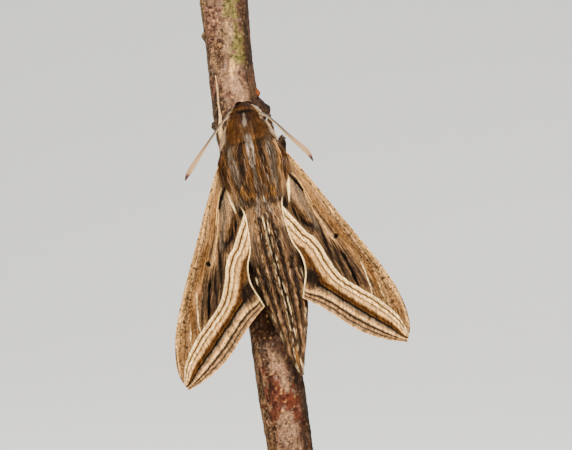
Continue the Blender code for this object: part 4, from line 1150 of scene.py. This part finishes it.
def around(tangent, turn, reference):
    """Directions square to a path, at angles round it that start beside a reference direction."""
    sideways = unit(np.cross(tangent, reference))
    return sideways * np.cos(turn)[:, None] + np.cross(sideways, tangent) * np.sin(turn)[:, None]
class BuildCoat(bpy.types.Operator):
    """Tufts of hair-like scales over the whole body, combed backwards"""

    bl_idname = "moth.build_coat"
    bl_label = "Coat"

    def execute(self, context):
        tones, sizes = tones_of(context), context.scene.moth_sizes
        depth = sizes.coat / MM
        rng = np.random.default_rng(11)
        finish = coat_finish("coat")
        for name, front, back, low, high, count, length, stands, width, steps in COAT:
            on_head, behind = front > HEAD_COAT_FRONT, front < HIND_COAT_FRONT
            count = int(count * sizes.tufts)
            y = rng.uniform(back, front, count)
            lean = np.radians(rng.uniform(low, high, count))
            turn = np.where(rng.random(count) < 0.5, lean, math.pi - lean)
            girth = section(y, 2)[0]
            keep = rng.random(count) < (0.3 + girth / girth.max()) * np.where(lean > -0.3, 1.0, 0.5)
            y, lean, turn = y[keep], lean[keep], turn[keep]
            number = len(y)
            root = body_point(y, turn)
            clump = mottle(root, 1.1, 41)
            size = length * rng.uniform(0.75, 1.15, number) * (1 + 0.3 * clump)
            size = np.where(lean > -0.2, size, np.minimum(size, 1.3))
            t = np.linspace(0, 1, steps)
            along = np.maximum(y[:, None] - size[:, None] * t, BODY_END - 0.9 * t)
            drift = (0.3 if behind else 1.0) * (rng.normal(0, 0.05, number) + 0.09 * mottle(root, 1.0, 42))
            toward = (math.pi / 2 - turn) * smooth(lean, -0.2, 0.2)
            draw = 0.035 * size if -4 < back < 4 else 0.0
            angle = turn[:, None] + (drift + draw * toward)[:, None] * t
            rise = np.interp(t, [0, 0.45, 1], [0.0, 0.75, 1.0])
            high_out = depth * 0.6 + stands * rng.uniform(0.15, 1.3, number) * (1 + 0.4 * clump)
            out = (high_out + SKIN_DEPTH)[:, None] * rise - SKIN_DEPTH - 0.1 * (t == 0)
            lines = np.stack([body_point(along[:, k], angle[:, k], out[:, k]) for k in range(steps)], axis=1)
            up = np.column_stack([np.cos(turn), np.zeros(number), np.sin(turn)])
            middle = angle[:, steps // 2]
            tint = body_tint(body_point(along[:, steps // 2], middle), middle, tones)
            if name in ("brow_coat", "ruff_coat"):
                tint = np.tile(0.85 * tones["pearl"] + 0.3 * tones["silver"], (number, 1))
            if name == "crest_coat":
                tint = 0.45 * tones["amber"] * np.exp(0.5 * clump)[:, None]
            chance = rng.random(number)
            calm = 0.45 if on_head else 0.6 if behind else 1.0
            for tone_name, start, end, strength in (
                ("umber", 0.0, 0.26 if on_head else 0.16, 0.85),
                ("pearl", 0.26, 0.34, 0.15 if on_head else 0.4),
                ("gold", 0.34, 0.46, 0.6),
            ):
                chosen = (chance > start) & (chance < end)
                tint = over(tint, tones[tone_name], chosen * strength * calm)
            tint = tint * np.exp(rng.normal(0, 0.3 if on_head else 0.36, (number, 1)))
            lines = turned_head(lines.reshape(-1, 3)).reshape(number, steps, 3)
            unwrap = np.column_stack([(turn / math.tau) % 1.0, (BODY_TOP - y) / (BODY_TOP - BODY_END)])
            thick = width * rng.uniform(0.6, 1.3, number)
            piece(hairs(name, lines, up, thick, tint, unwrap), finish, sharp=80)
        return {"FINISHED"}
PALP_POINTS = 40
PALP_TUFTS = 2800
class BuildHead(bpy.types.Operator):
    """Eyes, furred palps and the coiled proboscis"""

    bl_idname = "moth.build_head"
    bl_label = "Eyes, palps and proboscis"

    def execute(self, context):
        tones = tones_of(context)
        eye, tree, shader = material("eye", 0.25, Base_Color=(0.01, 0.005, 0.003, 1), Specular_IOR_Level=0.14)
        facets = node(tree, "TexVoronoi", {"Vector": object_place(tree), "Scale": 9000.0})
        bump(tree, shader, facets.outputs["Distance"], 0.01 * MM)
        horn, _, _ = material("proboscis", 0.4, Base_Color=(0.16, 0.08, 0.035, 1))
        coat = coat_finish("palp_coat")
        rng = np.random.default_rng(5)
        for side, word in SIDES:
            bm = bmesh.new()
            bmesh.ops.create_icosphere(bm, subdivisions=5, radius=EYE_RADIUS)
            mesh = mesh_from(bm, f"eye_{word}_globe")
            centre = np.array((side * EYE_PLACE.x, EYE_PLACE.y, EYE_PLACE.z))
            put_points(mesh, to_world(turned_head(points_of(mesh) + centre, whole=True)))
            piece(mesh, eye, [f"eye_{word}"])
            path = spline([(side * x, y, z, r) for x, y, z, r in PALP], PALP_POINTS)
            middle = turned_head(path[:, :3], whole=True)
            skin = tube(f"palp_{word}_skin", middle, path[:, 3] * 0.75, 20, (1, 0, 0))
            put(skin, "tint", np.tile(tones["brown"], (len(skin.vertices), 1)))
            # A tip of 0 gives the palp's skin the darkest painted shade of the coat finish, as under the
            # tufts.
            put(skin, "tip", np.zeros(len(skin.vertices)))
            number = PALP_TUFTS
            where = rng.integers(0, PALP_POINTS - 6, number)
            turn = rng.uniform(0, math.tau, number)
            tangent = unit(np.gradient(path[:, :3], axis=0))[where]
            up = around(tangent, turn, (1.0, 0, 0))
            root, radius = path[where, :3], path[where, 3:]
            size = rng.uniform(0.35, 0.95, (number, 1))
            lines = np.stack([
                root + up * radius * 0.6, root + up * radius * 0.95 + tangent * size * 0.5,
                root + up * (radius * 0.85 + size * 0.25) + tangent * size,
            ], axis=1)
            lines = turned_head(lines.reshape(-1, 3), whole=True).reshape(number, 3, 3)
            golden = smooth(root[:, 2], 5.8, 6.8)
            # Painted light: gold at 1.4 times its tone lightens the palps' upper part, where it lies in shade.
            tint = over(np.tile(tones["brown"], (number, 1)), 1.4 * tones["gold"], golden)
            tint = over(tint, tones["pearl"], smooth(up[:, 0] * side, 0.6, 0.85) * (1 - golden))
            tint = tint * rng.uniform(0.6, 1.25, (number, 1))
            unwrap = np.column_stack([turn / math.tau, where / PALP_POINTS])
            tufts = hairs(f"palp_{word}_tufts", lines, up, np.full(number, 0.14), tint, unwrap)
            piece(merged([skin, tufts], f"palp_{word}_coat"), coat, [f"palp_{word}"], 80)
        turn = np.linspace(0, 2.6 * math.tau, 260)
        reach = np.interp(turn, [0, turn[-1]], [COIL_RADIUS - 0.14, 0.16])
        path = np.array(COIL_PLACE) + np.column_stack([0.0 * turn, reach * np.cos(turn), reach * np.sin(turn)])
        ringed = 0.13 * (1 + 0.06 * np.sin(turn * 12))
        coil = tube("coil", turned_head(path, whole=True), ringed, 16, (1, 0, 0))
        piece(coil, horn, ["proboscis"])
        return {"FINISHED"}
FEELER_RINGS = 46


class BuildFeelers(bpy.types.Operator):
    """The two feelers, ringed, brown at the root, pale at the club and dark at the tip"""

    bl_idname = "moth.build_feelers"
    bl_label = "Feelers"

    def execute(self, context):
        tones = tones_of(context)
        finish, tree, shader = material("feeler", 0.6)
        tree.links.new(attribute(tree, "tint", "Color"), shader.inputs["Base Color"])

        def ridges(v):
            """How high the rings stand, from 0 to 1, at places along a feeler."""
            return np.abs(np.sin(v * FEELER_RINGS * math.pi))

        for name, knots, side in (("antenna_left", ANTENNA_LEFT, -1), ("antenna_right", ANTENNA_RIGHT, 1)):
            path = spline([(side * x, y, z, r) for x, y, z, r in knots], 420)
            radius = path[:, 3] * (0.9 + 0.1 * ridges(np.linspace(0, 1, len(path))))
            mesh = tube(name + "_rings", path[:, :3], radius, 20)
            u, v = place_in(mesh)
            pale = smooth(np.cos((u - 0.25 * side) * math.tau), 0.2, 0.7)
            colour = over(np.tile(tones["brown"], (len(v), 1)), tones["tan"] * 1.15, smooth(v, 0.3, 0.75))
            colour = over(colour, tones["cream"], 0.9 * pale * smooth(-v, -0.93, -0.85))
            colour = colour * (0.72 + 0.28 * ridges(v))[:, None]
            put(mesh, "tint", over(colour, tones["scar"] * 0.6, smooth(v, 0.88, 0.93)))
            piece(mesh, finish, [name])
        return {"FINISHED"}


def on_twig(y, degrees, lift, radius):
    """A knot of a leg beside the twig: along it, round it from its front, off its bark, and its radius."""
    turn = math.radians(degrees)
    sin, cos = math.sin(MOTH_TURN), math.cos(MOTH_TURN)
    place = np.array((MOTH_PLACE.x, MOTH_PLACE.z)) / MM
    world = place + y * np.array((-sin, cos))
    middle = (twig_x(world[1]) - place[0]) * cos + (world[1] - place[1]) * sin
    height = place[1] + y * cos + (middle + TWIG_RADIUS * math.sin(turn)) * sin
    reach = float(twig_reach(height, turn)) + lift
    return middle + reach * math.sin(turn), y, reach * math.cos(turn), radius


def leg_table():
    """The bent line of each leg, from its hip to its claws, with its radius at each place."""
    return {
        "foreleg_left": [
            (-3.35, 3.3, 5.1, 0.34), (-3.75, 4.6, 4.75, 0.38), (-3.7, 6.5, 4.35, 0.36),
            (-3.3, 8.6, 4.05, 0.3), on_twig(10.6, -34, 0.58, 0.25), on_twig(12.9, -33, 0.56, 0.23),
            on_twig(15.0, -35, 0.52, 0.15),
        ],
        "foreleg_right": [
            (3.2, 3.6, 5.15, 0.34), (3.75, 5.0, 4.9, 0.38), (3.7, 6.3, 4.35, 0.36), (3.9, 7.1, 3.5, 0.28),
            on_twig(6.9, 74, 0.62, 0.25), on_twig(6.5, 98, 0.6, 0.25), on_twig(6.0, 124, 0.55, 0.15),
        ],
        "midleg_left": [
            (-3.5, 0.4, 5.3, 0.36), (-4.9, -0.6, 4.6, 0.4), (-6.1, -2.2, 3.4, 0.34),
            on_twig(-3.6, -88, 0.7, 0.3), on_twig(-3.9, -108, 0.62, 0.26), on_twig(-3.2, -128, 0.58, 0.25),
            on_twig(-2.4, -146, 0.5, 0.15),
        ],
        "midleg_right": [
            (3.1, 1.0, 5.2, 0.36), (4.0, 2.2, 5.2, 0.42), (5.0, 3.5, 4.9, 0.36), (5.0, 2.2, 3.6, 0.36),
            (4.6, 0.2, 2.2, 0.3), on_twig(-2.2, 92, 0.66, 0.28), on_twig(-3.6, 108, 0.62, 0.26),
            on_twig(-3.2, 128, 0.58, 0.25), on_twig(-2.4, 146, 0.5, 0.15),
        ],
        "hindleg_left": [
            (-3.4, -3.0, 5.2, 0.36), (-5.2, -5.0, 4.9, 0.42), (-6.7, -7.6, 3.6, 0.36),
            (-6.9, -10.2, 1.6, 0.3), on_twig(-12.4, -94, 0.62, 0.26), on_twig(-14.8, -104, 0.58, 0.25),
            on_twig(-17.0, -112, 0.5, 0.15),
        ],
        "hindleg_right": [
            (3.4, -3.0, 5.2, 0.36), (4.5, -5.0, 4.5, 0.42), (4.6, -7.6, 3.0, 0.36), (3.5, -10.2, 1.2, 0.3),
            on_twig(-12.4, 94, 0.62, 0.26), on_twig(-14.8, 104, 0.58, 0.25), on_twig(-17.0, 112, 0.5, 0.15),
        ],
    }
# Points along a leg's path, the share of it inside the body, the spurs' place, and where the foot starts
LEG_POINTS = 220
HIP_SHARE = 0.12
SPUR_POINT = 138
FOOT_START = 0.62
LEG_TUFTS = 1000
class BuildLegs(bpy.types.Operator):
    """Six legs with jointed feet, spurs, claws and short tufts"""

    bl_idname = "moth.build_legs"
    bl_label = "Legs"

    def execute(self, context):
        tones = tones_of(context)
        finish = coat_finish("leg")
        rng = np.random.default_rng(3)
        for name, knots in leg_table().items():
            hip = (knots[0][0] * 0.45, knots[0][1] - 0.8, 6.6, 0.5)
            path = spline([hip, *knots], LEG_POINTS)
            t = np.maximum(np.linspace(-HIP_SHARE, 1, LEG_POINTS), 0)
            joints = np.abs(np.sin((t - FOOT_START) / (1 - FOOT_START) * 5 * math.pi))
            shank = np.interp(t, [0, 0.28, 0.34, FOOT_START], [0.85, 0.95, 0.7, 0.85])
            slim = np.where(t > FOOT_START, 0.62 + 0.3 * joints, shank)
            radius = path[:, 3] * slim * np.interp(t, [0, 0.35, 0.5, 0.96, 1], [1, 0.95, 0.55, 0.5, 0.35])
            radius = radius * (0.8 if name == "foreleg_left" else 1.0)
            axis = unit(np.gradient(path[:, :3], axis=0))

            def shades(facing, place):
                """Cream along the top of the left foreleg and on the other feet's rings, brown elsewhere. The
                right foreleg has no cream top: its brown there is painted shade.
                """
                pale = smooth(place, 0.5, 0.6) * smooth(np.sin(place * 40), -0.6, 0.2)
                if name == "foreleg_left":
                    pale = smooth(facing, -0.3, 0.4) * smooth(place, 0.12, 0.3)
                return over(np.tile(tones["brown"], (len(place), 1)), tones["leg"], pale)

            leg = tube(name + "_skin", path[:, :3], radius, 14)
            u, v = place_in(leg)
            put(leg, "tint", shades(np.cos(u * math.tau), v * (1 + HIP_SHARE) - HIP_SHARE))
            # A tip of 0.4 darkens the leg's skin with part of the coat finish's painted shade.
            put(leg, "tip", np.full(len(u), 0.4))
            where = rng.integers(2, 198, LEG_TUFTS)
            turn = rng.uniform(0, math.tau, LEG_TUFTS)
            up, ahead, thigh = around(axis[where], turn, (0, 0, 1.0)), axis[where], (t[where] < 0.5)[:, None]
            long = np.where(thigh, 0.8, 0.3) * rng.uniform(0.7, 1.2, (LEG_TUFTS, 1))
            root, off = path[where, :3], radius[where][:, None]
            clear = np.where(thigh, 0.07, 0.02)
            tips = root + up * (off + clear * 0.7) + ahead * long
            bend = root + up * (off + clear) + ahead * long * 0.5
            lines = np.stack([root + up * off * 0.7, bend, tips], axis=1)
            tint = shades(up[:, 2], t[where]) * rng.uniform(0.7, 1.15, (LEG_TUFTS, 1))
            width = np.where(thigh[:, 0], 0.1, 0.07)
            unwrap = np.column_stack([turn / math.tau, t[where]])
            tufts = hairs(name + "_tufts", lines, up, width, tint, unwrap)
            extra = []

            def horn(kind, knots, thick, thin):
                """A small tapered horn, such as a claw or a spur."""
                made = tube(f"{name}_{kind}", spline(knots, 12), np.linspace(thick, thin, 12), 8, patch=0.003)
                put(made, "tint", np.tile(tones["umber"], (len(made.vertices), 1)))
                put(made, "tip", np.full(len(made.vertices), 0.4))
                extra.append(made)

            for way, _ in SIDES:
                end, line = path[-1, :3], axis[-1]
                out = unit(np.cross(line, (0, 0, 1.0))) * way
                hook = end + line * 0.36 + out * 0.1
                horn("claw", [end - line * 0.1, end + line * 0.25 + out * 0.16, hook], 0.06, 0.012)
                if not name.startswith("fore"):
                    base, line = path[SPUR_POINT, :3], axis[SPUR_POINT]
                    out = unit(np.cross(line, (0, 0, 1.0))) * way
                    tip = base + line * 1.1 + out * 0.5
                    horn("spur", [base, base + line * 0.5 + out * 0.38, tip], 0.08, 0.015)
            piece(merged([leg, tufts, *extra], name + "_coat"), finish, [name], 80)
        return {"FINISHED"}


STEPS = [
    BuildStage, BuildStand, BuildTwig, BuildWings, BuildBody, BuildCoat, BuildHead, BuildFeelers, BuildLegs,
]


class MothPanel(bpy.types.Panel):
    """Lists the sizes, the colours and the steps"""

    bl_idname = "VIEW3D_PT_resting_moth"
    bl_label = "Resting hawk-moth"
    bl_space_type = "VIEW_3D"
    bl_region_type = "UI"
    bl_category = "Moth"

    def draw(self, context):
        column = self.layout.column(align=True)
        for name in MothSizes.__annotations__:
            column.prop(context.scene.moth_sizes, name)
        column.separator()
        for name in MothTones.__annotations__:
            column.prop(context.scene.moth_tones, name)
        column.separator()
        for step in STEPS:
            column.operator(step.bl_idname)


CLASSES = [MothTones, MothSizes, *STEPS, MothPanel]


def register():
    for made in CLASSES:
        bpy.utils.register_class(made)
    bpy.types.Scene.moth_tones = bpy.props.PointerProperty(type=MothTones)
    bpy.types.Scene.moth_sizes = bpy.props.PointerProperty(type=MothSizes)


def unregister():
    del bpy.types.Scene.moth_sizes
    del bpy.types.Scene.moth_tones
    for made in reversed(CLASSES):
        bpy.utils.unregister_class(made)


def main():
    register()
    bpy.ops.moth.build_stage()
    bpy.ops.moth.build_stand()
    bpy.ops.moth.build_twig()
    bpy.ops.moth.build_wings()
    bpy.ops.moth.build_body()
    bpy.ops.moth.build_coat()
    bpy.ops.moth.build_head()
    bpy.ops.moth.build_feelers()
    bpy.ops.moth.build_legs()


if __name__ == "__main__":
    main()
